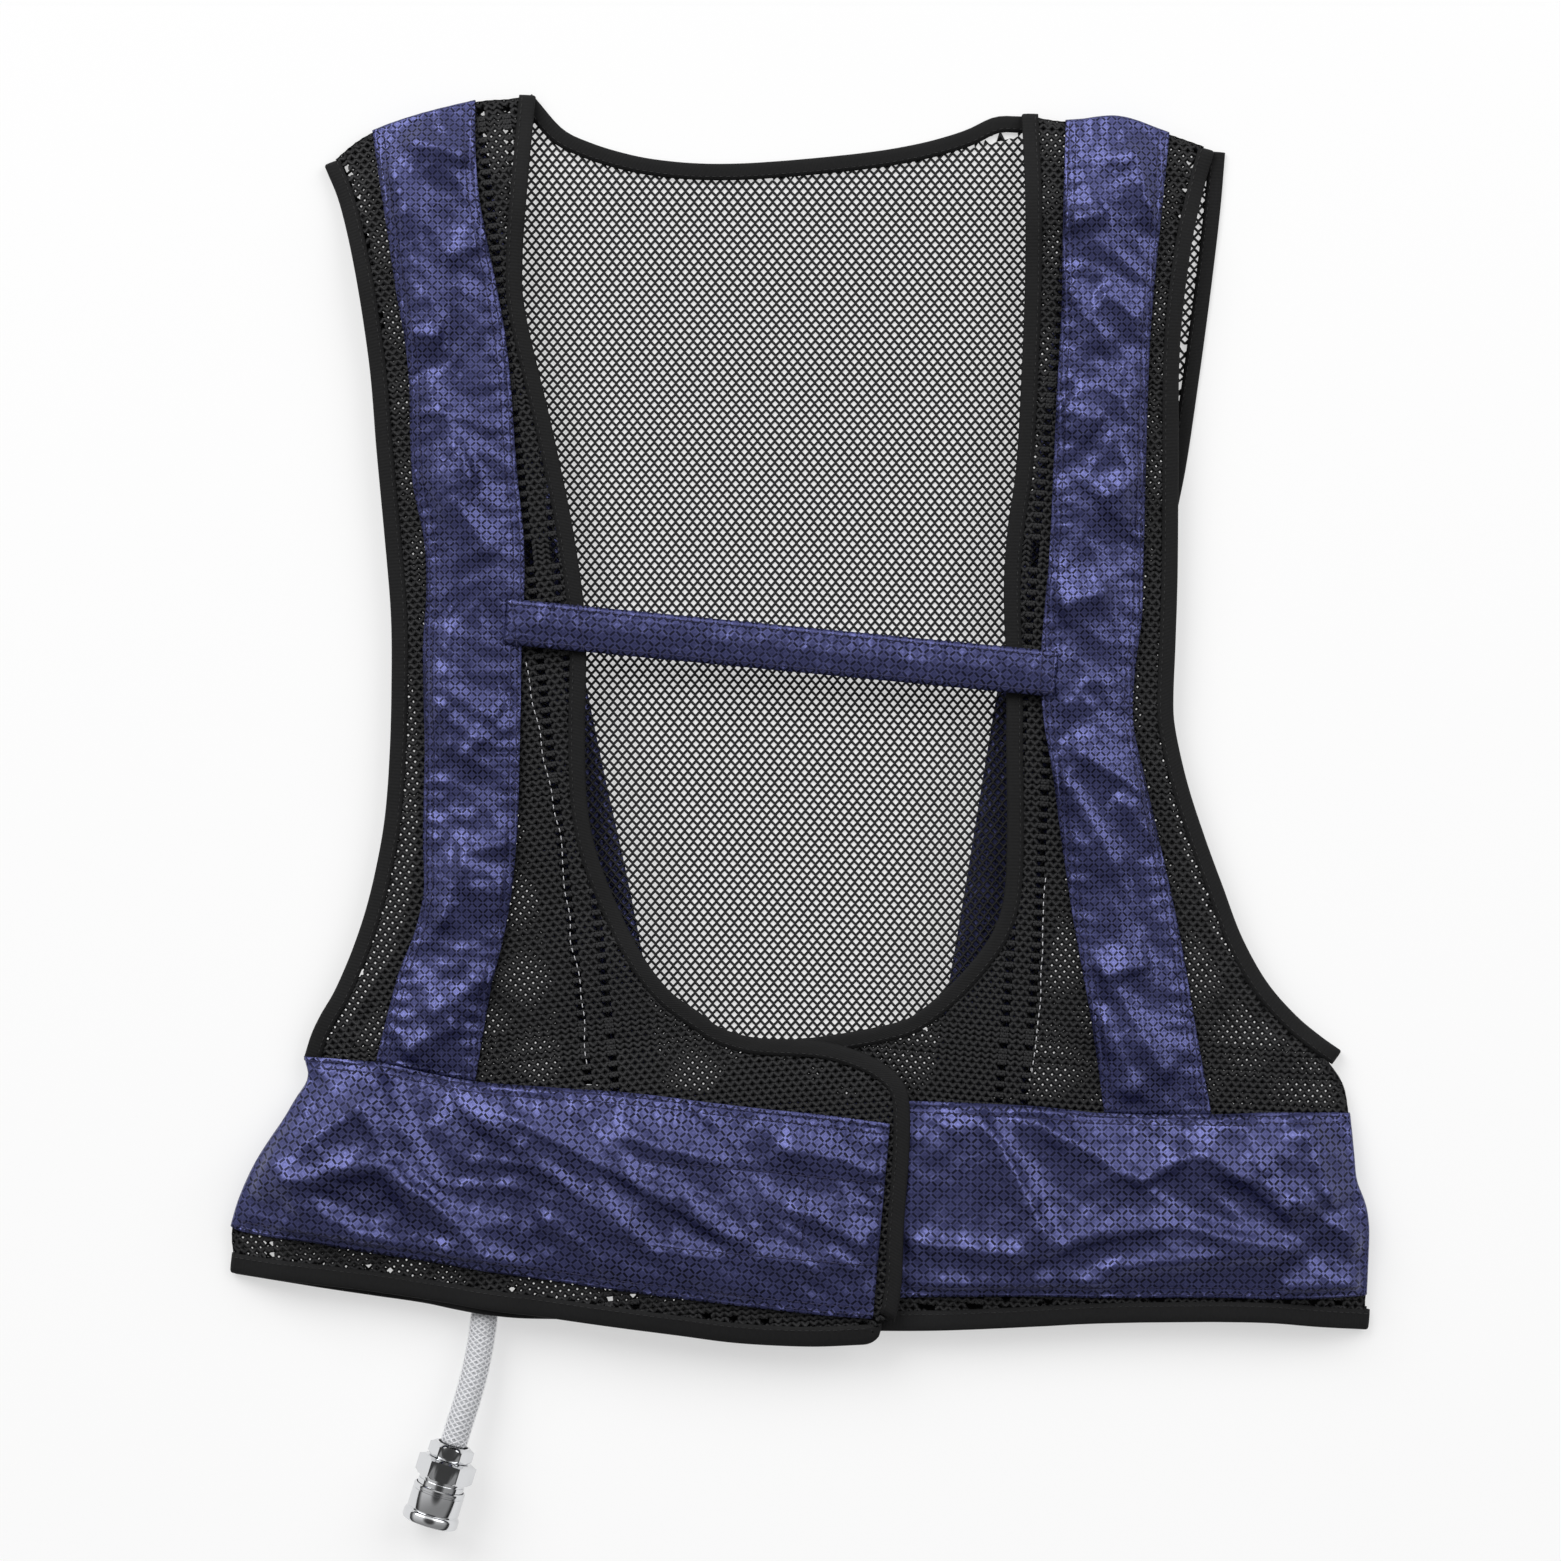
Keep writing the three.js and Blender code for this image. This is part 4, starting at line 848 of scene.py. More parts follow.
def sweepTape(node, panel, material):
    first, second = longLines(node)
    panelTree = Surface(panel).tree
    distance = [sum(panelTree.find_nearest(p)[3] for p in line) / len(line) for line in (first, second)]
    outer, inner = (first, second) if distance[0] > distance[1] else (second, first)
    count = round(max(lineLength(outer), lineLength(inner)) / tape["station"])
    outer = evenLine(smoothLine(outer, tape["station"]), count)
    inner = evenLine(smoothLine(inner, tape["station"]), count)
    drop = Vector((0, 0, tape["cadThickness"] / 2))
    stations = [(edge - drop, far - edge, Vector((0, 0, 1))) for edge, far in zip(outer, inner)]
    seam = []
    for place, across, normal in stations:
        share = tape["stitchFromEdge"]
        seam.append(place + across * share + normal * (0.74 * mm + tape["threadWidth"] * 0.2))
    for axis, action, length in tapeEnds[node]:
        atStart = stations[0][0].dot(Vector(axis)) > stations[-1][0].dot(Vector(axis))
        if action == "cut":
            seam = seam[4:] if atStart else seam[:-4]
        stations = finishEnd(stations, atStart, action, length)
    profile = tape["profile"]
    points, reaches, reach = [], [], 0.0
    for i, (place, across, normal) in enumerate(stations):
        reach += (place - stations[i - 1][0]).length if i else 0.0
        reaches.append(reach)
        for k, (share, height) in enumerate(profile):
            ripple = math.sin(reach / (3.1 * mm)) * math.sin(reach / (11.7 * mm) + k * 0.4)
            lift = height * mm + ripple * tape["pucker"] * math.copysign(1, height)
            points.append(tuple(place + across * share + normal * lift))
    ring, count = len(profile), len(stations) - 1
    faces = [(i * ring + k, i * ring + (k + 1) % ring, (i + 1) * ring + (k + 1) % ring, (i + 1) * ring + k)
             for i in range(count) for k in range(ring)]
    faces += [tuple(range(ring)), tuple(count * ring + k for k in reversed(range(ring)))]
    name = node.replace("binding", "tape")
    mesh = bpy.data.meshes.new(name)
    mesh.from_pydata(points, [], faces)
    layer = mesh.uv_layers.new(name="cloth")
    corners = np.empty(len(mesh.loops), dtype=np.int64)
    mesh.loops.foreach_get("vertex_index", corners)
    along = np.repeat(np.array(reaches), ring)
    across = np.tile([share * 7 * mm for share, _ in profile], count + 1)
    uv = np.stack([along, across], axis=1)[corners] * 10
    layer.data.foreach_set("uv", uv.reshape(-1).astype(np.float32))
    bm = bmesh.new()
    bm.from_mesh(mesh)
    bmesh.ops.recalc_face_normals(bm, faces=bm.faces)
    bm.to_mesh(mesh)
    bm.free()
    shadeSmooth(mesh)
    piece = newPiece(name, mesh, material)
    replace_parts(piece, node)
    return seam


def makeTapes():
    material = tapeWebbing()
    rows = []
    for node in tapeEnds:
        side = node.rsplit("_", 1)[1]
        panel = "back_panel" if "back" in node else "front_panel_" + side
        rows.append(sweepTape(node, panel, material))
    sewRows("tape_stitches", rows, sewingThread("blackThread", "#19191a"),
            tape["stitchPitch"])


makeTapes()
print("edge tapes")


# Net carried round the shoulder and side folds

def borderBetween(name, start, end):
    # The shorter way along a sheet solid's upper border between the points nearest to two places
    lines = edgeLines(name)
    loop = [p for line in lines for p in line[:-1]]
    first, last = (min(range(len(loop)), key=lambda i: (loop[i] - place).xy.length) for place in (start, end))
    if first > last:
        first, last = last, first
    inside = loop[first:last + 1]
    outside = (loop[last:] + loop[:first + 1])
    return min(inside, outside, key=lineLength)


def wrapNet(name, front, edge, material):
    # Cells bent round a half turn from the front net down to the back net
    cell = netCellMesh(net["frontStrand"])
    corners = [v.co.copy() for v in cell.vertices]
    cellFaces = [tuple(face.vertices) for face in cell.polygons]
    bpy.data.meshes.remove(cell)
    line = smoothLine(edge, 2 * mm)
    past = 3.5 * mm             # into the tapes at both ends
    line = [line[0] + (line[0] - line[1]).normalized() * past, *line,
            line[-1] + (line[-1] - line[-2]).normalized() * past]
    total = lineLength(line)
    middle = sum((Vector(p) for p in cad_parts[front].bound_box), Vector()) / 8
    frontNet, backNet = Surface(front), Surface("back_panel")
    stations = []
    for i, p in enumerate(line):
        along = (line[min(i + 1, len(line) - 1)] - line[max(i - 1, 0)]).xy.normalized()
        out = Vector((along.y, -along.x))
        if out.dot((p - middle).xy) < 0:
            out = -out
        inside = p.xy - out * 2 * mm
        low = (backNet.top(*inside) + backNet.under(*inside)) / 2
        high = (frontNet.top(*inside) + frontNet.under(*inside)) / 2
        stations.append((p.x, p.y, low, high, out.x, out.y))
    table = np.array(stations)
    for _ in range(6):
        table[1:-1] = (table[:-2] + 2 * table[1:-1] + table[2:]) / 4
    reach = np.concatenate([[0], np.cumsum([(b - a).length for a, b in zip(line, line[1:])])])
    round_ = math.pi * max(2.5 * mm, float(np.mean(table[:, 3] - table[:, 2])) / 2)
    verts, faces = [], []
    halfWidth, halfLength = net["cellWidth"] / 2, net["cellLength"] / 2
    for row in range(-1, round(round_ / halfLength) + 2):
        for column in range(round(total / halfWidth) + 1):
            if (row + column) % 2:
                continue
            start = len(verts)
            for corner in corners:
                s = column * halfWidth + corner.x
                x, y, low, high, ox, oy = (float(np.interp(s, reach, table[:, k])) for k in range(6))
                angle = (row * halfLength + corner.y) / round_ * math.pi
                radius = (high - low) / 2
                bulge = min(radius, 0.5 * mm)
                lift = corner.z
                sine, cosine = math.sin(angle), math.cos(angle)
                if angle < 0 or angle > math.pi:
                    beyond = -angle if angle < 0 else angle - math.pi
                    inward = beyond / math.pi * round_
                    z = high + lift if angle < 0 else low - lift
                    verts.append((x - ox * inward, y - oy * inward, z))
                else:
                    out = sine * (bulge + lift)
                    verts.append((x + ox * out, y + oy * out, (high + low) / 2 + cosine * (radius + lift)))
            faces += [tuple(start + k for k in face) for face in cellFaces]
    mesh = bpy.data.meshes.new(name)
    mesh.from_pydata(verts, [], faces)
    bm = bmesh.new()
    bm.from_mesh(mesh)
    bmesh.ops.remove_doubles(bm, verts=bm.verts, dist=0.02 * mm)
    bm.to_mesh(mesh)
    bm.free()
    shadeSmooth(mesh)
    piece = newPiece(name, mesh, material)
    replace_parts(piece, front)


def farEnd(name, axis):
    # The end of a tape that lies farthest along a direction
    points = [p for line in longLines(name) for p in (line[0], line[-1])]
    return max(points, key=lambda p: p.dot(Vector(axis)))


def wrapNets():
    material = bpy.data.materials["knittedPolyester"]
    for side, outward in (("left", -1), ("right", 1)):
        front = "front_panel_" + side
        neck = farEnd("neckline_binding_" + side, (0, 1, 0))
        shoulder = farEnd("armhole_binding_front_" + side, (0, 1, 0))
        armpit = farEnd("armhole_binding_front_" + side, (0, -1, 0))
        hem = farEnd("hem_binding_" + side, (outward, 0, 0))
        wrapNet("shoulder_net_" + side, front, borderBetween(front, neck, shoulder), material)
        wrapNet("side_net_" + side, front, borderBetween(front, armpit, hem), material)


wrapNets()
print("net folds")


# Blue cloth: belts and air ducts, crumpled by a cloth simulation inside their sewn edges

blue = {
    "step": 3.6 * mm,           # of the simulated grid; the finished one is twice as fine
    "thickness": 0.45 * mm,
    "overNet": 0.05 * mm,
    "rise": 11.0 * mm,          # how far in from the seam the cloth reaches its full height
    "simScale": 10.0,
    "frames": 26,
    "stitchLines": (1.6 * mm, 4.6 * mm),
    "stitchDip": 0.6 * mm,
    "pucker": 0.95 * mm,
    "puckerPitch": 8.5 * mm,
    "crumple": 1.9 * mm,
    "motifLength": 5.6 * mm,
    "motifWidth": 5.4 * mm,
}


def jacquardNylon(name):
    # Coated jacquard nylon: satin, with dark dashes on a diagonal lattice that shine less
    material = bpy.data.materials.new(name)
    material.use_nodes = True
    tree = material.node_tree
    shader = tree.nodes["Principled BSDF"]

    def calc(operation, a, b=0.0, c=0.0):
        return addNode(tree, "ShaderNodeMath", {0: a, 1: b, 2: c}, operation=operation).outputs[0]

    place = addNode(tree, "ShaderNodeTexCoord").outputs["UV"]
    u, v, _ = addNode(tree, "ShaderNodeSeparateXYZ", {0: place}).outputs
    across = calc("DIVIDE", u, blue["motifLength"] * 10)
    along = calc("DIVIDE", v, blue["motifWidth"] * 10)
    diagonals = [calc("ADD", across, along), calc("SUBTRACT", across, along)]
    gaps = [calc("PINGPONG", diagonal, 0.5) for diagonal in diagonals]

    def fading(value, start, end):
        return addNode(tree, "ShaderNodeMapRange", {"Value": value, "From Min": start, "From Max": end},
                       interpolation_type="SMOOTHSTEP").outputs[0]

    def dash(gap, other):
        return calc("MULTIPLY", fading(gap, 0.145, 0.105), fading(other, 0.14, 0.19))

    wear = addNode(tree, "ShaderNodeTexNoise", {"Vector": place, "Scale": 6.0, "Detail": 2.0}).outputs[0]
    dashes = calc("MULTIPLY", calc("MAXIMUM", dash(gaps[0], gaps[1]), dash(gaps[1], gaps[0])),
                  addNode(tree, "ShaderNodeMapRange", {"Value": wear, "From Min": 0.35, "From Max": 0.65,
                                                       "To Min": 0.8, "To Max": 1.0}).outputs[0])
    inner = calc("MINIMUM", gaps[0], gaps[1])
    ring = calc("MULTIPLY", fading(inner, 0.22, 0.28), fading(inner, 0.4, 0.33))
    yarn = addNode(tree, "ShaderNodeTexNoise", {"Vector": place, "Scale": 90.0, "Detail": 2.0})
    shade = addNode(tree, "ShaderNodeMapRange", {"Value": yarn.outputs[0], "From Min": 0.3,
                                                 "From Max": 0.7, "To Min": 0.86, "To Max": 1.12})
    ground = addNode(tree, "ShaderNodeMix", {"Factor": calc("MULTIPLY", ring, 0.5),
                                             6: linear("#4d507e"), 7: linear("#373a66")},
                     data_type="RGBA").outputs[2]
    woven = addNode(tree, "ShaderNodeMix", {"Factor": dashes, 6: ground, 7: linear("#0b0d22")},
                    data_type="RGBA").outputs[2]
    colour = addNode(tree, "ShaderNodeVectorMath", {0: woven, "Scale": shade.outputs[0]},
                     operation="SCALE").outputs[0]
    rough = calc("MULTIPLY_ADD", dashes, 0.15, 0.4)
    crumple = addNode(tree, "ShaderNodeTexNoise", {"Vector": place, "Scale": 9.0, "Detail": 4.0,
                                                   "Roughness": 0.55, "Distortion": 0.6})
    creases = addNode(tree, "ShaderNodeTexNoise", {"Vector": place, "Scale": 6.5, "Detail": 2.0,
                                                   "Offset": 1.0, "Gain": 1.4, "Distortion": 0.4},
                      noise_type="RIDGED_MULTIFRACTAL")
    soft = calc("MULTIPLY_ADD", crumple.outputs[0], 2.0, calc("MULTIPLY", dashes, -0.12))
    relief = calc("MULTIPLY_ADD", creases.outputs[0], 1.3, soft)
    bump = addNode(tree, "ShaderNodeBump", {"Height": relief, "Distance": 0.4 * mm, "Strength": 0.6})
    tree.links.new(colour, shader.inputs["Base Color"])
    tree.links.new(rough, shader.inputs["Roughness"])
    tree.links.new(bump.outputs[0], shader.inputs["Normal"])
    shader.inputs["Metallic"].default_value = 0.72     # the coating's shine has the cloth's colour
    return material


def ridge(x, y, fold):
    # Height that one fold of the table adds over plan points
    (x0, y0), (x1, y1) = fold["start"], fold["end"]
    dx, dy = x1 - x0, y1 - y0
    length = math.hypot(dx, dy)
    t = ((x - x0) * dx + (y - y0) * dy) / length ** 2
    bow = fold["bow"] * 4 * t * (1 - t)
    s = ((x - x0) * dy - (y - y0) * dx) / length - bow
    fade = smoothStep((t + 0.1) / 0.25) * smoothStep((1.1 - t) / 0.25)
    side = np.where(s > 0, fold["broad"], fold["steep"])
    return fold["height"] * fade * np.exp(-np.abs(s / side) ** 1.25)


def inwardOf(points, step):
    # How far in from its edges each point of a grid lies
    rows, columns = points.shape[:2]
    i = np.minimum(np.arange(rows), rows - 1 - np.arange(rows))[:, None]
    j = np.minimum(np.arange(columns), columns - 1 - np.arange(columns))[None, :]
    return np.minimum(i, j) * step


def folded(points, table, reach=4.5 * mm):
    # The main folds of a piece, raised on its fine grid
    x, y = points[:, :, 0], points[:, :, 1]
    height = sum((ridge(x, y, fold) for fold in table), np.zeros(x.shape))
    points[:, :, 2] += height * smoothStep(inwardOf(points, blue["step"] / 2) / reach)
    return points


def foldTable(columns, rows):
    # Rows of numbers in millimetres made dictionaries in metres
    folds = []
    for row in rows:
        named = dict(zip(columns, row))
        folds.append({
            "start": (named["x0"] * mm, named["y0"] * mm), "end": (named["x1"] * mm, named["y1"] * mm),
            "broad": named["broad"] * mm, "steep": named["steep"] * mm, "height": named["height"] * mm,
            "bow": named["bow"] * mm,
        })
    return folds


def blurred(values, passes):
    for _ in range(passes):
        padded = np.pad(values, 1, mode="edge")
        values = (padded[1:-1, 1:-1] * 2 + padded[:-2, 1:-1] + padded[2:, 1:-1]
                  + padded[1:-1, :-2] + padded[1:-1, 2:]) / 6
    return values


def clothGrid(node):
    # Points of a sewn piece: low at its seams, full inside
    lines = edgeLines(node)
    lengths = sorted(lineLength(line) for line in lines)
    acrossCount = max(4, round((lengths[0] + lengths[1]) / 2 / blue["step"]))
    grid = patchGrid(lines, blue["step"], acrossCount)
    points = np.array([[tuple(p) for p in row] for row in grid])
    solid = Surface(node)
    rows, columns = points.shape[:2]
    tops = np.empty((rows, columns))
    unders = np.empty((rows, columns))
    middle = points[rows // 2, columns // 2]
    for i in range(rows):
        for j in range(columns):
            x, y = points[i, j, :2] + (middle[:2] - points[i, j, :2]) * 0.004
            unders[i, j] = solid.under(x, y, points[i, j, 2] - 1.2 * mm)
            tops[i, j] = solid.top(x, y, points[i, j, 2])
    tops, unders = blurred(tops, 3), blurred(unders, 3)
    base = unders + blue["overNet"] + blue["thickness"]
    rising = smoothStep(inwardOf(points, blue["step"]) / blue["rise"])
    points[:, :, 2] = base + np.maximum(tops - base, 0) * rising
    return points, base


def simulate(name, points, floor, spare, skew, cap, pressure):
    # Cloth with spare length inside pinned edges; rest lengths come from a larger shape
    rows, columns = points.shape[:2]
    scale = blue["simScale"]
    faces = [(i * columns + j, (i + 1) * columns + j, (i + 1) * columns + j + 1, i * columns + j + 1)
             for i in range(rows - 1) for j in range(columns - 1)]
    mesh = bpy.data.meshes.new(name)
    mesh.from_pydata((points.reshape(-1, 3) * scale).tolist(), [], faces)
    faceUp(mesh)
    obj = bpy.data.objects.new(name, mesh)
    scene.collection.objects.link(obj)
    border = [i * columns + j for i in range(rows) for j in range(columns)
              if i in (0, rows - 1) or j in (0, columns - 1)]
    group = obj.vertex_groups.new(name="seams")
    group.add(border, 1.0, "REPLACE")
    obj.shape_key_add(name="sewn")
    loose = obj.shape_key_add(name="loose")
    centre = points.reshape(-1, 3).mean(axis=0)
    run = points[-1, columns // 2] - points[0, columns // 2]
    run[2] = 0
    run = run / np.linalg.norm(run)
    side = np.array([-run[1], run[0], 0])
    flat = points.reshape(-1, 3) - centre
    a, b = flat @ run, flat @ side
    wide = (centre + np.outer(a * (1 + spare[0]) + b * skew, run) + np.outer(b * (1 + spare[1]), side)
            + np.outer(flat[:, 2], [0, 0, 1])) * scale
    loose.data.foreach_set("co", wide.reshape(-1).astype(np.float32))
    modifier = obj.modifiers.new("cloth", "CLOTH")
    settings = modifier.settings
    settings.vertex_group_mass = "seams"
    settings.rest_shape_key = loose
    settings.effector_weights.gravity = 0.0
    settings.quality = 6
    settings.mass = 0.25
    settings.tension_stiffness = 25
    settings.compression_stiffness = 25
    settings.shear_stiffness = 12
    settings.bending_stiffness = 0.12
    settings.tension_damping = 12
    settings.air_damping = 2.0
    settings.use_pressure = True
    settings.uniform_pressure_force = pressure
    modifier.point_cache.frame_start = 1
    modifier.point_cache.frame_end = blue["frames"]
    for frameNumber in range(1, blue["frames"] + 1):
        scene.frame_set(frameNumber)
    graph = bpy.context.evaluated_depsgraph_get()
    moved = obj.evaluated_get(graph)
    settled = np.empty(rows * columns * 3, dtype=np.float32)
    moved.data.vertices.foreach_get("co", settled)
    settled = settled.reshape(rows, columns, 3) / scale
    bpy.data.objects.remove(obj)
    scene.frame_set(1)
    change = settled - points
    size = np.linalg.norm(change, axis=2, keepdims=True)
    change *= np.minimum(1.0, cap / np.maximum(size, 1e-9))
    result = points + change
    result[:, :, 2] = np.maximum(result[:, :, 2], floor)
    print(name, "moved", round(float(size.mean()) / mm, 2), "at most", round(float(size.max()) / mm, 2))
    return result


def refined(values):
    # Twice as fine in both directions, on cubic curves through the points
    for axis in (0, 1):
        values = np.moveaxis(values, axis, 0)
        padded = np.concatenate([2 * values[:1] - values[1:2], values, 2 * values[-1:] - values[-2:-1]])
        halves = (-padded[:-3] + 9 * padded[1:-2] + 9 * padded[2:-1] - padded[3:]) / 16
        finer = np.empty((2 * len(values) - 1, *values.shape[1:]))
        finer[0::2] = values
        finer[1::2] = halves
        values = np.moveaxis(finer, 0, axis)
    return values


def seamWork(points, phase):
    # Dips along the stitch lines and small puckers between them and the edge
    rows, columns = points.shape[:2]
    step = blue["step"] / 2
    for i in range(rows):
        for j in range(columns):
            sides = (i * step, (rows - 1 - i) * step, j * step, (columns - 1 - j) * step)
            inward = min(sides)
            if inward > 14 * mm:
                continue
            run = (j if inward in sides[:2] else i) * step
            dip = sum(math.exp(-((inward - line) / (0.9 * mm)) ** 2) for line in blue["stitchLines"])
            shift = noise.noise(Vector((run * 60, phase, inward * 20))) * 2.2
            wave = math.sin(2 * math.pi * run / blue["puckerPitch"] + shift * 3)
            strength = 0.5 + 0.5 * noise.noise(Vector((run * 25, phase + 7, 0)))
            points[i, j, 2] += wave * strength * blue["pucker"] * math.exp(-((inward - 5 * mm) / (5 * mm)) ** 2)
            points[i, j, 2] -= blue["stitchDip"] * dip
    return points


def grooved(points, lines):
    # Shallow grooves where rows of stitches pull the cloth down
    for line in lines:
        corners = [np.array(corner) * mm for corner in line]
        for a, b in zip(corners, corners[1:]):
            span = b - a
            flat = points[:, :, :2] - a
            t = np.clip((flat @ span) / (span @ span), 0, 1)
            gap = np.linalg.norm(flat - t[:, :, None] * span, axis=2)
            points[:, :, 2] -= blue["stitchDip"] * np.exp(-(gap / (1.3 * mm)) ** 2)
    return points


def puckered(points, places):
    # Round puckers: a ring round a sunken middle
    for x, y in places:
        gap = np.linalg.norm(points[:, :, :2] - np.array((x, y)) * mm, axis=2)
        ring = np.exp(-((gap - 5.2 * mm) / (1.7 * mm)) ** 2)
        points[:, :, 2] += 1.0 * mm * ring - 0.9 * mm * np.exp(-(gap / (2.8 * mm)) ** 2)
    return points


def crumpled(points, phase, amount):
    # Fine sharp creases, drawn out along the slant that the folds follow
    inward = inwardOf(points, blue["step"] / 2)
    rows, columns = points.shape[:2]
    for i in range(rows):
        for j in range(columns):
            x, y = points[i, j, 0], points[i, j, 1]
            along, across = (x - y) * 0.7, (x + y) * 0.7
            bend = noise.noise(Vector((x * 14, y * 14, phase))) * 1.4
            coarse = noise.noise(Vector((along * 26, across * 64 + bend, phase + 3)))
            cross = noise.noise(Vector((along * 58 - bend, across * 30, phase + 6)))
            fine = noise.noise(Vector((along * 66, across * 128 + bend, phase + 9)))
            crease = 1.2 - 1.5 * abs(coarse) ** 0.8 - 0.9 * abs(cross) ** 0.8 - 0.75 * abs(fine) ** 0.9
            points[i, j, 2] += (crease - 0.5) * amount * float(smoothStep(inward[i, j] / (6 * mm)))
    return points


def rolledOver(points, uv, rowsFirst, low, steps=7):
    # Extra rows that carry the cloth round the fold at one end, down to a height
    edge, before = (points[0], points[1]) if rowsFirst else (points[-1], points[-2])
    edgeUv, beforeUv = (uv[0], uv[1]) if rowsFirst else (uv[-1], uv[-2])
    out = edge[:, :2] - before[:, :2]
    reach = np.linalg.norm(out, axis=1, keepdims=True)
    out = out / reach
    radius = (edge[:, 2] - low) / 2
    extra, extraUv = [], []
    for k in range(1, steps + 1):
        angle = math.pi * k / steps
        row = np.empty_like(edge)
        row[:, :2] = edge[:, :2] + out * (np.minimum(radius, 1.6 * mm) * math.sin(angle))[:, None]
        row[:, 2] = low + radius + radius * math.cos(angle)
        extra.append(row)
        extraUv.append(edgeUv + (edgeUv - beforeUv) / reach * (radius * angle)[:, None])
    if rowsFirst:
        return np.concatenate([extra[::-1], points]), np.concatenate([extraUv[::-1], uv])
    return np.concatenate([points, extra]), np.concatenate([uv, extraUv])


def closedSheet(name, points, uv, thickness):
    # Upper side as given, under side half as fine, joined round the edge
    rows, columns = points.shape[:2]
    du = np.gradient(points, axis=0)
    dv = np.gradient(points, axis=1)
    normal = np.cross(du, dv)
    normal /= np.maximum(np.linalg.norm(normal, axis=2, keepdims=True), 1e-12)
    if normal[rows // 2, columns // 2, 2] < 0:
        normal = -normal
    under = points - normal * thickness
    iKept = sorted(set(range(0, rows, 2)) | {rows - 1})
    jKept = sorted(set(range(0, columns, 2)) | {columns - 1})
    verts = points.reshape(-1, 3).tolist()
    uvs = uv.reshape(-1, 2).tolist()
    first = len(verts)
    for i in iKept:
        for j in jKept:
            verts.append(under[i, j].tolist())
            uvs.append(uv[i, j].tolist())

    def up(i, j):
        return i * columns + j

    def down(a, b):
        return first + a * len(jKept) + b

    faces = [(up(i, j), up(i + 1, j), up(i + 1, j + 1), up(i, j + 1))
             for i in range(rows - 1) for j in range(columns - 1)]
    faces += [(down(a, b), down(a, b + 1), down(a + 1, b + 1), down(a + 1, b))
              for a in range(len(iKept) - 1) for b in range(len(jKept) - 1)]
    for a in range(len(iKept) - 1):
        for j, b in ((0, 0), (columns - 1, len(jKept) - 1)):
            rim = [up(i, j) for i in range(iKept[a], iKept[a + 1] + 1)]
            face = rim + [down(a + 1, b), down(a, b)]
            faces.append(tuple(face if j else face[::-1]))
    for b in range(len(jKept) - 1):
        for i, a in ((0, 0), (rows - 1, len(iKept) - 1)):
            rim = [up(i, j) for j in range(jKept[b], jKept[b + 1] + 1)]
            face = rim + [down(a, b + 1), down(a, b)]
            faces.append(tuple(face[::-1] if i else face))
    mesh = bpy.data.meshes.new(name)
    mesh.from_pydata(verts, [], faces)
    layer = mesh.uv_layers.new(name="cloth")
    corners = np.empty(len(mesh.loops), dtype=np.int64)
    mesh.loops.foreach_get("vertex_index", corners)
    layer.data.foreach_set("uv", np.array(uvs)[corners].reshape(-1).astype(np.float32))
    bm = bmesh.new()
    bm.from_mesh(mesh)
    bmesh.ops.recalc_face_normals(bm, faces=bm.faces)
    bm.to_mesh(mesh)
    bm.free()
    shadeSmooth(mesh)
    return mesh


def planUv(points):
    # Cloth coordinates in tenths of a metre, along and across the piece as it lies in plan
    columns = points.shape[1]
    run = points[-1, columns // 2, :2] - points[0, columns // 2, :2]
    run = run / np.linalg.norm(run)
    flat = points[:, :, :2]
    return np.stack([flat @ run, flat @ np.array([-run[1], run[0]])], axis=2) * 10


def stitchPath(points, share, inward, ends=1):
    # A row of points along one long side of a grid, a set way in from its edge
    step = blue["step"] / 2
    place = inward / step
    low = int(place)
    part = place - low
    columns = points.shape[1]
    pick = (lambda k: k) if share == 0 else (lambda k: columns - 1 - k)
    line = points[:, pick(low)] * (1 - part) + points[:, pick(low + 1)] * part
    return [Vector(p) + Vector((0, 0, 0.1 * mm)) for p in line[ends:-ends]]


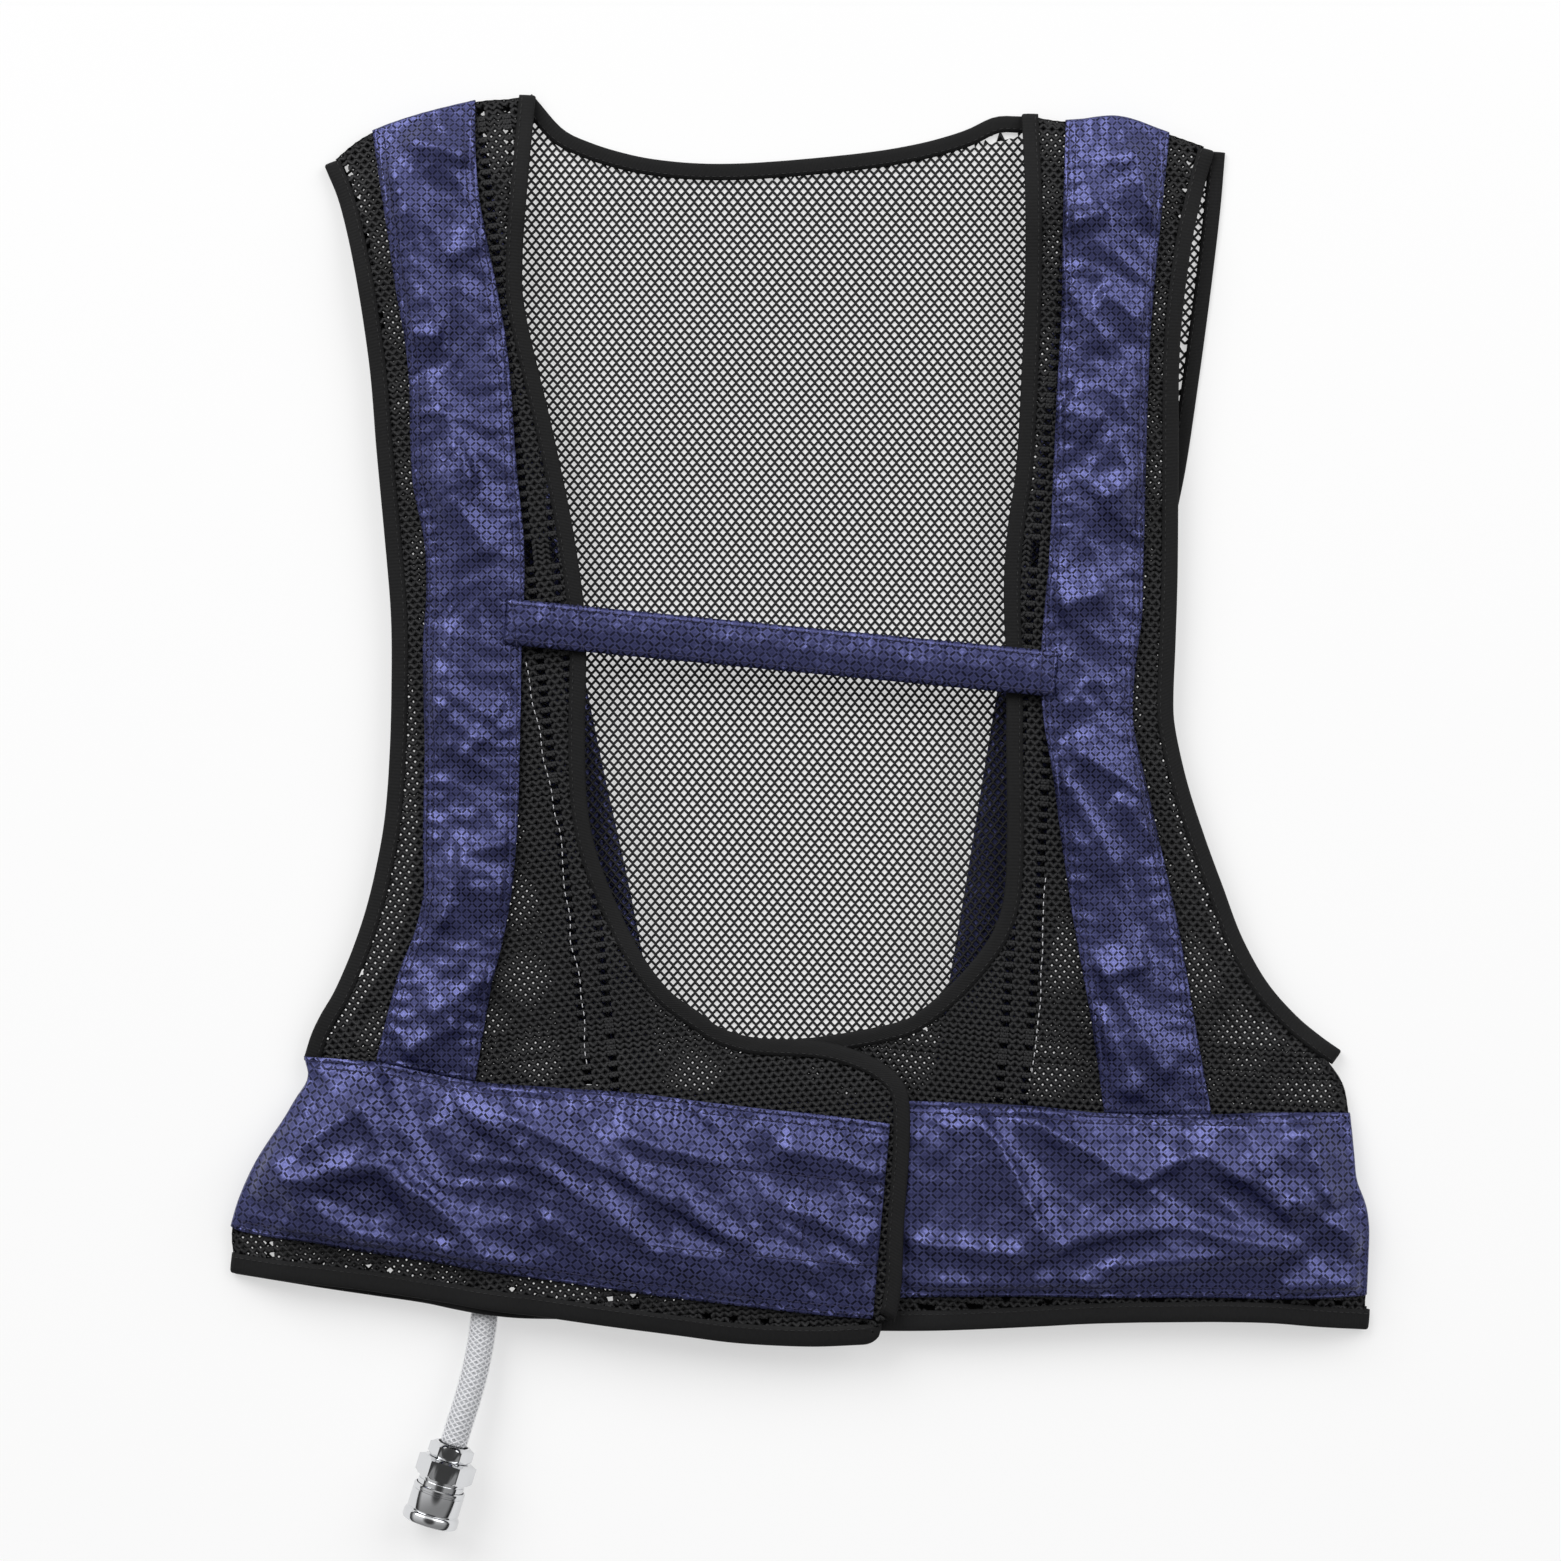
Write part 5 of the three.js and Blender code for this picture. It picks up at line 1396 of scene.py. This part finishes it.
# The broad side of a fold lies to the right of its direction
foldColumns = ("x0", "y0", "x1", "y1", "broad", "steep", "height", "bow")
folds = {
    "front_belt_left": foldTable(foldColumns, (
        (-66, -226, -143, -165, 13, 13, 8.5, 2), (-25, -225, -126, -169, 20, 3, 6.0, 2),
        (33, -234, -68, -226, 7, 8, 4.5, 0), (-137, -226, -176, -194, 7, 8, 6.5, 2),
        (-175, -158, -230, -194, 12, 18, 8.0, 0), (-173, -191, -238, -204, 10, 7, 7.0, 2),
        (-176, -223, -219, -206, 6, 8, 5.0, 0), (-96, -237, -240, -214, 7, 4, 4.5, 0),
        (-63, -246, -114, -209, 7, 7, 5.0, 0), (33, -195, -7, -183, 7, 6, 4.5, 2),
        (-31, -190, -80, -177, 6, 5, 3.5, 0), (31, -226, -4, -209, 8, 6, 4.5, 0),
        (-190, -160, -160, -212, 6, 9, 4.0, 0), (-20, -245, -52, -232, 7, 6, 4.0, 0),
    )),
    "front_belt_right": foldTable(foldColumns, (
        (74, -165, 106, -226, 16, 5, 8.5, -2), (143, -198, 89, -168, 7, 11, 7.0, 2),
        (213, -215, 167, -184, 17, 5, 8.0, 2), (167, -186, 142, -199, 12, 4, 6.0, -1),
        (159, -217, 104, -228, 11, 4, 7.0, 2), (214, -228, 128, -236, 9, 5, 7.0, 1),
        (213, -226, 159, -217, 4, 5, 3.5, 0), (107, -229, 50, -224, 5, 7, 5.5, -1),
        (133, -241, 52, -243, 9, 3, 6.0, 0), (215, -172, 229, -208, 9, 8, 7.0, 1),
        (243, -227, 208, -203, 6, 8, 5.0, 0), (243, -243, 205, -244, 10, 3, 6.0, 0),
        (186, -166, 198, -196, 8, 6, 4.0, 0),
    )),
    "front_duct_left": foldTable(foldColumns, (
        (-175, 241, -158, 174, 8, 8, 4.5, 0), (-141, 238, -168, 247, 11, 6, 5.5, 0),
        (-152, 162, -171, 165, 12, 5, 5.5, 0), (-158, 147, -140, 104, 11, 5, 5.5, 1),
        (-137, 103, -157, 94, 9, 6, 5.5, 0), (-148, 95, -133, 69, 9, 5, 5.0, 0),
        (-148, 39, -149, -15, 9, 6, 4.5, 1), (-123, -53, -146, -58, 6, 7, 5.5, 0),
        (-141, -60, -153, -90, 7, 5, 5.5, 0), (-124, -74, -143, -72, 6, 8, 5.0, 0),
        (-131, -110, -159, -128, 10, 7, 5.5, 0), (-145, -131, -170, -143, 7, 9, 5.5, 0),
        (-135, 205, -150, 196, 8, 6, 4.0, 0), (-166, 20, -150, 2, 6, 6, 4.0, 0),
        (-128, 8, -142, -20, 8, 5, 4.0, 0),
    )),
    "front_duct_right": foldTable(foldColumns, (
        (131, 217, 114, 209, 9, 6, 6.0, 0), (142, 246, 152, 211, 8, 5, 5.5, 0),
        (148, 170, 128, 181, 8, 8, 5.0, 0), (127, 123, 112, 133, 11, 7, 5.0, 0),
        (140, 151, 138, 80, 12, 6, 4.0, 0), (133, 54, 111, 46, 10, 7, 5.5, 0),
        (152, -34, 115, -13, 9, 6, 6.0, 0), (112, -24, 137, -67, 9, 5, 5.0, 0),
        (154, -53, 135, -34, 7, 6, 5.0, 0), (150, -105, 128, -111, 7, 4, 6.0, 0),
        (133, -112, 158, -155, 9, 5, 5.5, 0), (127, -125, 145, -163, 8, 5, 5.0, 0),
        (150, 105, 128, 92, 8, 5, 4.5, 0), (114, 186, 132, 158, 8, 6, 4.0, 0),
    )),
    "back_belt": [], "back_duct_left": [], "back_duct_right": [], "chest_strap": [],
}


def sewCloth(node, material, spare=(0, 0), skew=0.0, cap=0.0, pressure=0.0, roll=(), phase=0.0, grooves=(),
             carriers=()):
    onFront = not node.startswith("back")
    amount = blue["crumple"] * (0.3 if node == "chest_strap" else 1.0)
    points, floor = clothGrid(node)
    if cap:
        points = simulate(node, points, floor, spare, skew, cap, pressure)
    fine = points
    if onFront:
        fine = folded(refined(points), folds[node])
        fine = seamWork(crumpled(fine, phase, amount), phase)
        fine = puckered(grooved(fine, grooves), puckers.get(node, ()))
    if carriers:
        fine = laidAcross(fine, carriers)
    uv = planUv(fine) * (1.18 if "duct" in node else 1.0)
    whole = fine
    for first, low in roll:
        whole, uv = rolledOver(whole, uv, first, low)
    mesh = closedSheet(node + "_cloth", whole, uv, blue["thickness"])
    piece = newPiece(node + "_cloth", mesh, material)
    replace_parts(piece, node)
    return {"piece": piece, "points": fine}


def laidAcross(points, carriers):
    # A strap that bridges the hollows of what it lies on, its turned edges bent down
    over = points[:, :, 2].copy()
    for tree in carriers:
        for i, j in np.ndindex(over.shape):
            x, y = points[i, j, :2]
            hit = tree.ray_cast(Vector((x, y, 1.0)), Vector((0, 0, -1)))[0]
            if hit:
                over[i, j] = max(over[i, j], hit.z + blue["thickness"] + 0.6 * mm)
    high = np.pad(over, 3, mode="edge")
    highest = np.max([high[a:a + over.shape[0], b:b + over.shape[1]] for a in range(7) for b in range(7)], axis=0)
    wrinkles = points[:, :, 2] - blurred(points[:, :, 2], 12)
    points[:, :, 2] = blurred(highest, 10) + wrinkles
    points[:, :, 2] -= 0.7 * mm * (inwardOf(points, 1.0) < 0.5)
    return points


puckers = {"front_duct_right": ((126.2, 10.5),)}


def gridTree(points):
    rows, columns = points.shape[:2]
    faces = [(i * columns + j, (i + 1) * columns + j, (i + 1) * columns + j + 1, i * columns + j + 1)
             for i in range(rows - 1) for j in range(columns - 1)]
    return BVHTree.FromPolygons(points.reshape(-1, 3).tolist(), faces)


def laidOn(tree, corners, lift=0.12 * mm):
    # A line through plan points, laid on a surface
    corners = [Vector((x * mm, y * mm, 0)) for x, y in corners]
    line = []
    for a, b in zip(corners, corners[1:]):
        count = max(1, round((b - a).length / (2 * mm)))
        line += [a.lerp(b, k / count) for k in range(count)]
    line.append(corners[-1])
    laid = []
    for p in line:
        hit = tree.ray_cast(Vector((p.x, p.y, 1.0)), Vector((0, 0, -1)))[0]
        if hit:
            laid.append(hit + Vector((0, 0, lift)))
    return laid


def foldEnd(node, points):
    # Which end of a front piece is its fold to the back
    ends = [np.abs(points[0, :, 0]).mean(), np.abs(points[-1, :, 0]).mean()]
    if "duct" in node:
        ends = [points[0, :, 1].mean(), points[-1, :, 1].mean()]
    return ends[0] > ends[1]


blueSeams = {
    "hookPatch": ((-67.3, -187.8), (38.9, -198.9), (35.5, -233.7), (-72.9, -223.4), (-67.3, -187.8)),
    "patchBand": ((4.1, -195.5), (0.9, -230.2)),
    "strapCross": ((-94.2, 47.5), (-91.5, 26.0)),
    "strapEnd": ((-122.5, 48.8), (-120.0, 27.5)),
    "strapBox": ((104.5, 30.5), (109.5, 30.0), (108.0, 10.5), (103.0, 11.0), (104.5, 30.5)),
}


def makeBlueCloth():
    material = jacquardNylon("jacquardNylon")
    made = {}
    for k, (node, skew) in enumerate((("front_belt_left", 0.03), ("front_belt_right", -0.03),
                                      ("front_duct_left", 0.025), ("front_duct_right", -0.025))):
        grid, _ = clothGrid(node)
        roll = [(foldEnd(node, grid), 1.0 * mm)]
        spare = (0.05, 0.05) if "belt" in node else (0.09, 0.05)
        grooves = [blueSeams["hookPatch"], blueSeams["patchBand"]] if node == "front_belt_left" else []
        made[node] = sewCloth(node, material, spare, skew, 5 * mm, 0.5, roll, 3.1 * k, grooves)
    for k, node in enumerate(("back_belt", "back_duct_left", "back_duct_right")):
        made[node] = sewCloth(node, material, phase=20 + k)
    ducts = [gridTree(made["front_duct_" + side]["points"]) for side in ("left", "right")]
    made["chest_strap"] = sewCloth("chest_strap", material, phase=24, carriers=ducts)
    rows = []
    for node, one in made.items():
        if node.startswith("back"):
            continue
        lines = (2.0 * mm,) if node == "chest_strap" else blue["stitchLines"]
        rows += [stitchPath(one["points"], side, inward) for side in (0, 1) for inward in lines]
    beltTree = gridTree(made["front_belt_left"]["points"])
    strapTree = gridTree(made["chest_strap"]["points"])
    rows.append(laidOn(beltTree, blueSeams["hookPatch"]))
    rows.append(laidOn(beltTree, blueSeams["patchBand"]))
    rows += [laidOn(strapTree, blueSeams[name]) for name in ("strapCross", "strapEnd")]
    rows.append(laidOn(strapTree, blueSeams["strapBox"]))
    sewRows("blue_stitches", [row for row in rows if len(row) > 1], sewingThread("navyThread", "#1e1e42"),
            3.2 * mm, size=1.35)
    return made


cloths = makeBlueCloth()
print("blue cloth")


# White basting threads that show through the front nets

threads = {
    "front_panel_left": ((-116.7, 23.0), (-102.6, -47.9), (-96.0, -100.0), (-90.4, -147.0)),
    "front_panel_right": ((106.0, -69.4), (103.5, -110.0), (100.2, -151.0)),
}


def makeThreads():
    # Hand-sewn, so the rows wander and some stitches sink into the net
    rows = []
    for panel, line in threads.items():
        row = laidOn(Surface(panel).tree, line, lift=0.15 * mm)
        for point in row:
            wander = noise.noise_vector(Vector((point.x * 60, point.y * 60, 4)))
            dip = noise.noise(Vector((point.x * 160, point.y * 160, 8)))
            point += Vector((wander.x * 2.2 * mm, 0, dip * 0.8 * mm))
        rows.append(row)
    sewRows("white_threads", rows, sewingThread("whiteThread", "#c9c9cc"), 3.4 * mm)


makeThreads()
print("threads")


# Hook and loop patches between the two belts

def pileMaterial(name, hexColour, roughness, pileScale):
    # Woven nylon fastener tape: a dense pile, its colour painted lighter at the tips and darker in the hollows between,
    # as painted highlight and painted shade
    material = bpy.data.materials.new(name)
    material.use_nodes = True
    tree = material.node_tree
    shader = tree.nodes["Principled BSDF"]
    place = addNode(tree, "ShaderNodeTexCoord").outputs["UV"]
    pile = addNode(tree, "ShaderNodeTexVoronoi", {"Vector": place, "Scale": pileScale})
    # painted highlight on the pile tips, painted shade in the hollows between them
    tone = addNode(tree, "ShaderNodeMapRange", {"Value": pile.outputs["Distance"], "To Min": 1.5,
                                                "To Max": 0.4}).outputs[0]
    colour = addNode(tree, "ShaderNodeVectorMath", {0: linear(hexColour)[:3], "Scale": tone},
                     operation="SCALE").outputs[0]
    bump = addNode(tree, "ShaderNodeBump", {"Height": pile.outputs["Distance"], "Distance": 0.5 * mm},
                   invert=True)
    tree.links.new(colour, shader.inputs["Base Color"])
    tree.links.new(bump.outputs[0], shader.inputs["Normal"])
    shader.inputs["Roughness"].default_value = roughness
    return material


def makeFasteners():
    materials = {"loop_patch": pileMaterial("loopPile", "#1c1c20", 0.85, 75.0),
                 "hook_patch": pileMaterial("hookPile", "#202024", 0.45, 60.0)}
    for node, material in materials.items():
        points, _ = clothGrid(node)
        fine = refined(points)
        mesh = closedSheet(node + "_pile", fine, planUv(fine), 0.9 * mm)
        piece = newPiece(node + "_pile", mesh, material)
        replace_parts(piece, node)


makeFasteners()
print("fastener patches")


# What each sheet was cut to, printed with its area

def flatArea(node):
    bm = mergedSolid(node)
    bm.normal_update()
    area = sum(face.calc_area() for face in bm.faces if face.normal.z > 0.2)
    bm.free()
    return area


def declareSheet(name, node):
    sides = sorted(lineLength(line) for line in edgeLines(node))
    width, length = (sides[0] + sides[1]) / 2, (sides[2] + sides[3]) / 2
    area = min(flatArea(node), width * length)
    print(name, "cut to", round(width, 3), round(length, 3), "area", round(area, 4))


def declareSheets():
    for side in ("left", "right"):
        declareSheet(f"front_belt_{side}_cloth", "front_belt_" + side)
        declareSheet(f"front_duct_{side}_cloth", "front_duct_" + side)
        declareSheet(f"back_duct_{side}_cloth", "back_duct_" + side)
    declareSheet("back_belt_cloth", "back_belt")
    declareSheet("chest_strap_cloth", "chest_strap")
    declareSheet("loop_patch_pile", "loop_patch")
    declareSheet("hook_patch_pile", "hook_patch")


declareSheets()


# Air hose: clear tube with a braid in its wall, its inlet and its quick coupler

hose = {
    "route": (
        (-132.4, -231.6, 7.9), (-132.7, -236.0, 7.84), (-133.2, -241.5, 7.76), (-133.8, -247.0, 7.7),
        (-134.4, -252.0, 7.67), (-135.1, -257.5, 7.72), (-135.8, -263.0, 8.01), (-136.6, -268.5, 8.48),
        (-137.6, -274.0, 9.12), (-138.7, -279.5, 9.83), (-139.9, -284.5, 10.5), (-141.3, -289.5, 11.14),
        (-142.9, -295.0, 11.75), (-144.5, -300.0, 12.16), (-146.2, -305.5, 12.38), (-147.9, -311.0, 12.4),
    ),
    "radius": 6.0 * mm,
    "wall": 0.5 * mm,
    "linerRadius": 5.35 * mm,
    "linerWall": 1.2 * mm,
    "braidRadius": 5.5 * mm,
    "threads": 10,
    "threadWidth": 0.98 * mm,
    "turnLength": 24 * mm,
    "sides": 24,
    "length": 0.0814,
}


def clearVinyl():
    # Flexible PVC: clear, slightly milky, smooth
    material = bpy.data.materials.new("clearVinyl")
    material.use_nodes = True
    shader = material.node_tree.nodes["Principled BSDF"]
    shader.inputs["Base Color"].default_value = linear("#e4e6e8")
    shader.inputs["Roughness"].default_value = 0.12
    shader.inputs["IOR"].default_value = 1.53
    shader.inputs["Alpha"].default_value = 0.16
    return material


def milkyLiner():
    # Inner PVC tube seen between the yarns: pale grey, satin
    material = bpy.data.materials.new("milkyLiner")
    material.use_nodes = True
    shader = material.node_tree.nodes["Principled BSDF"]
    shader.inputs["Base Color"].default_value = linear("#9fa1a6")
    shader.inputs["Roughness"].default_value = 0.35
    return material


def braidYarn():
    # Polyester reinforcement yarn: white, a little glossy
    material = bpy.data.materials.new("braidYarn")
    material.use_nodes = True
    tree = material.node_tree
    shader = tree.nodes["Principled BSDF"]
    place = addNode(tree, "ShaderNodeTexCoord").outputs["Object"]
    strand = addNode(tree, "ShaderNodeTexNoise", {"Vector": place, "Scale": 1800.0})
    tone = addNode(tree, "ShaderNodeMapRange", {"Value": strand.outputs[0], "To Min": 0.75,
                                                "To Max": 1.15}).outputs[0]
    colour = addNode(tree, "ShaderNodeVectorMath", {0: linear("#e6e6ea")[:3], "Scale": tone},
                     operation="SCALE").outputs[0]
    tree.links.new(colour, shader.inputs["Base Color"])
    shader.inputs["Roughness"].default_value = 0.45
    return material


def framesAlong(line):
    # Along, side and up directions at each point of a line
    frames = []
    for i, p in enumerate(line):
        along = (line[min(i + 1, len(line) - 1)] - line[max(i - 1, 0)]).normalized()
        side = along.cross(Vector((0, 0, 1))).normalized()
        frames.append((p, along, side, side.cross(along).normalized()))
    return frames


def tubeMesh(name, line, radii):
    # A closed pipe wall: outside, end rings and inside
    verts, faces = [], []
    sides = hose["sides"]
    frames = framesAlong(line)
    for radius in radii:
        for p, _, side, up in frames:
            for k in range(sides):
                angle = 2 * math.pi * k / sides
                verts.append(p + (side * math.cos(angle) + up * math.sin(angle)) * radius)
    count = len(frames)
    for shell in range(2):
        first = shell * count * sides
        for i in range(count - 1):
            for k in range(sides):
                a, b = first + i * sides + k, first + i * sides + (k + 1) % sides
                faces.append((a, b, b + sides, a + sides))
    for i in (0, count - 1):
        for k in range(sides):
            a, b = i * sides + k, i * sides + (k + 1) % sides
            faces.append((a, b, b + count * sides, a + count * sides))
    mesh = bpy.data.meshes.new(name)
    mesh.from_pydata([tuple(v) for v in verts], [], faces)
    bm = bmesh.new()
    bm.from_mesh(mesh)
    bmesh.ops.recalc_face_normals(bm, faces=bm.faces)
    bm.to_mesh(mesh)
    bm.free()
    shadeSmooth(mesh)
    return mesh


def braidMesh(line):
    # Yarns wound both ways, each a flat strand that passes over and under the others
    verts, faces = [], []
    frames = framesAlong(line)
    total = lineLength(line)
    half = hose["threadWidth"] / 2
    for heading in (1, -1):
        for n in range(hose["threads"]):
            start = len(verts)
            for i, (p, along, side, up) in enumerate(frames):
                reach = total * i / (len(frames) - 1)
                angle = heading * 2 * math.pi * reach / hose["turnLength"] + 2 * math.pi * n / hose["threads"]
                out = side * math.cos(angle) + up * math.sin(angle)
                round_ = up * math.cos(angle) - side * math.sin(angle)
                swing = hose["braidRadius"] * 2 * math.pi / hose["turnLength"] * heading
                across = (along * -swing + round_).normalized()
                weave = math.sin(angle * hose["threads"] / 2 * heading) * 0.12 * mm * heading
                centre = p + out * (hose["braidRadius"] + weave)
                for a, b in ((1, 0), (0, 0.45), (-1, 0), (0, -0.45)):
                    verts.append(centre + across * half * a + out * half * b)
            for i in range(len(frames) - 1):
                for k in range(4):
                    a, b = start + i * 4 + k, start + i * 4 + (k + 1) % 4
                    faces.append((a, b, b + 4, a + 4))
            faces.append((start, start + 1, start + 2, start + 3))
            last = len(verts) - 4
            faces.append((last + 3, last + 2, last + 1, last))
    mesh = bpy.data.meshes.new("braid")
    mesh.from_pydata([tuple(v) for v in verts], [], faces)
    bm = bmesh.new()
    bm.from_mesh(mesh)
    bmesh.ops.recalc_face_normals(bm, faces=bm.faces)
    bm.to_mesh(mesh)
    bm.free()
    shadeSmooth(mesh)
    return mesh


def polishedChrome():
    # Bright chrome plate on brass: mirror smooth with a trace of turning marks
    material = bpy.data.materials.new("polishedChrome")
    material.use_nodes = True
    tree = material.node_tree
    shader = tree.nodes["Principled BSDF"]
    place = addNode(tree, "ShaderNodeTexCoord").outputs["Object"]
    haze = addNode(tree, "ShaderNodeTexNoise", {"Vector": place, "Scale": 260.0, "Detail": 3.0})
    rough = addNode(tree, "ShaderNodeMapRange", {"Value": haze.outputs[0], "To Min": 0.05,
                                                 "To Max": 0.16}).outputs[0]
    tree.links.new(rough, shader.inputs["Roughness"])
    shader.inputs["Base Color"].default_value = linear("#d9dadc")
    shader.inputs["Metallic"].default_value = 1.0
    return material


coupler = {
    "mouth": 34.2 * mm,
    "nutAcross": 17.0 * mm,
    "bodyAcross": 22.0 * mm,
    # distance from the hose's end and radius, in millimetres
    "nut": ((0.3, 6.6), (0.3, 7.6), (1.0, 8.6), (1.6, 9.9), (5.6, 9.9), (6.2, 8.9), (6.7, 8.5), (6.7, 6.5)),
    "body": ((6.98, 7.0), (6.98, 10.2), (7.8, 12.8), (14.7, 12.8), (15.6, 11.4), (15.6, 10.1),
             (16.4, 10.1), (16.5, 9.6), (17.2, 9.6), (17.3, 10.1), (33.7, 10.1), (34.2, 9.7), (34.2, 6.3),
             (33.8, 6.0), (18.4, 6.0), (18.4, 0.0)),
    "sleeve": ((19.45, 10.5), (19.45, 10.9), (19.9, 11.3), (21.0, 11.3), (21.2, 11.0), (21.8, 11.0),
               (22.0, 11.3), (29.6, 11.3), (30.0, 11.05), (30.5, 11.1), (31.0, 11.8), (31.8, 12.15),
               (34.4, 12.2), (35.1, 11.9), (35.45, 11.3), (35.45, 10.45), (34.9, 10.45)),
    "sides": 60,
}


def inletRubber():
    # Moulded black rubber, matt with a fine grain
    material = bpy.data.materials.new("inletRubber")
    material.use_nodes = True
    tree = material.node_tree
    shader = tree.nodes["Principled BSDF"]
    place = addNode(tree, "ShaderNodeTexCoord").outputs["Object"]
    grain = addNode(tree, "ShaderNodeTexNoise", {"Vector": place, "Scale": 1400.0, "Detail": 3.0})
    tone = addNode(tree, "ShaderNodeMapRange", {"Value": grain.outputs[0], "To Min": 0.7, "To Max": 1.3}).outputs[0]
    colour = addNode(tree, "ShaderNodeVectorMath", {0: linear("#161617")[:3], "Scale": tone},
                     operation="SCALE").outputs[0]
    bump = addNode(tree, "ShaderNodeBump", {"Height": grain.outputs[0], "Distance": 0.1 * mm, "Strength": 0.4})
    tree.links.new(colour, shader.inputs["Base Color"])
    tree.links.new(bump.outputs[0], shader.inputs["Normal"])
    shader.inputs["Roughness"].default_value = 0.6
    return material


# The ribbed stub in the belt: distance from the hose's start and radius, in millimetres
inletProfile = (
    (0.4, 4.7), (0.4, 5.6), (0.7, 5.95), (1.9, 5.95), (2.2, 5.6), (2.9, 5.6), (3.2, 5.95), (4.4, 5.95), (4.7, 5.6),
    (5.4, 5.6), (5.7, 5.95), (7.6, 5.95), (8.0, 5.6), (8.0, 4.7),
)


def turnedPiece(name, profile, axis, origin, flatAcross=None, closed=False):
    # A lathe profile along the coupler's axis; flats are cut where the radius passes them
    sides = coupler["sides"]
    up = Vector((0, 0, 1))
    side = axis.cross(up).normalized()
    verts, faces = [], []
    for reach, radius in profile:
        for k in range(sides):
            angle = 2 * math.pi * k / sides
            r = radius * mm
            if flatAcross:
                turned = (angle + math.pi / 6) % (math.pi / 3) - math.pi / 6
                r = min(r, flatAcross / 2 / math.cos(turned))
            verts.append(origin + axis * reach * mm + (up * math.cos(angle) + side * math.sin(angle)) * r)
    rings = len(profile)
    for i in range(rings if closed else rings - 1):
        for k in range(sides):
            a, b = i * sides + k, i * sides + (k + 1) % sides
            c, d = (i + 1) % rings * sides + (k + 1) % sides, (i + 1) % rings * sides + k
            faces.append((a, b, c, d))
    mesh = bpy.data.meshes.new(name)
    mesh.from_pydata([tuple(v) for v in verts], [], faces)
    bm = bmesh.new()
    bm.from_mesh(mesh)
    bmesh.ops.remove_doubles(bm, verts=bm.verts, dist=0.001 * mm)
    if not closed:
        bmesh.ops.holes_fill(bm, edges=[edge for edge in bm.edges if edge.is_boundary], sides=0)
    bmesh.ops.recalc_face_normals(bm, faces=bm.faces)
    bm.to_mesh(mesh)
    bm.free()
    shadeSmooth(mesh)
    mesh.set_sharp_from_angle(angle=math.radians(32))
    return mesh


def makeHose():
    route = [Vector(p) * mm for p in hose["route"]]
    line = smoothLine(route, 1.6 * mm)
    mesh = tubeMesh("air_hose_tube", line, (hose["radius"], hose["radius"] - hose["wall"]))
    tube = newPiece("air_hose_tube", mesh, clearVinyl())
    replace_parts(tube, "air_hose")
    liner = tubeMesh("liner", line, (hose["linerRadius"], hose["linerRadius"] - hose["linerWall"]))
    inside = [newPiece("air_hose_liner", liner, milkyLiner()),
              newPiece("air_hose_braid", braidMesh(line), braidYarn())]
    for piece in inside:
        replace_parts(piece, "air_hose")
    chrome = polishedChrome()
    axis = Vector((-0.295708, -0.955278, 0.0)).normalized()
    end = route[-1]
    pieces = {
        "hose_nut": turnedPiece("nut", coupler["nut"], axis, end, coupler["nutAcross"], closed=True),
        "coupler_body": turnedPiece("body", coupler["body"], axis, end, coupler["bodyAcross"]),
        "coupler_sleeve": turnedPiece("sleeve", coupler["sleeve"], axis, end, closed=True),
    }
    for node, piece in pieces.items():
        obj = newPiece(node + "_turned", piece, chrome)
        if node == "coupler_sleeve":
            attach(obj, "coupler_sleeve")
        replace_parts(obj, node)
    inward = (route[0] - route[1]).normalized()
    stub = turnedPiece("inlet", inletProfile, inward, route[0], closed=True)
    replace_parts(newPiece("hose_inlet_turned", stub, inletRubber()), "hose_inlet")


makeHose()
print("hose and coupler")
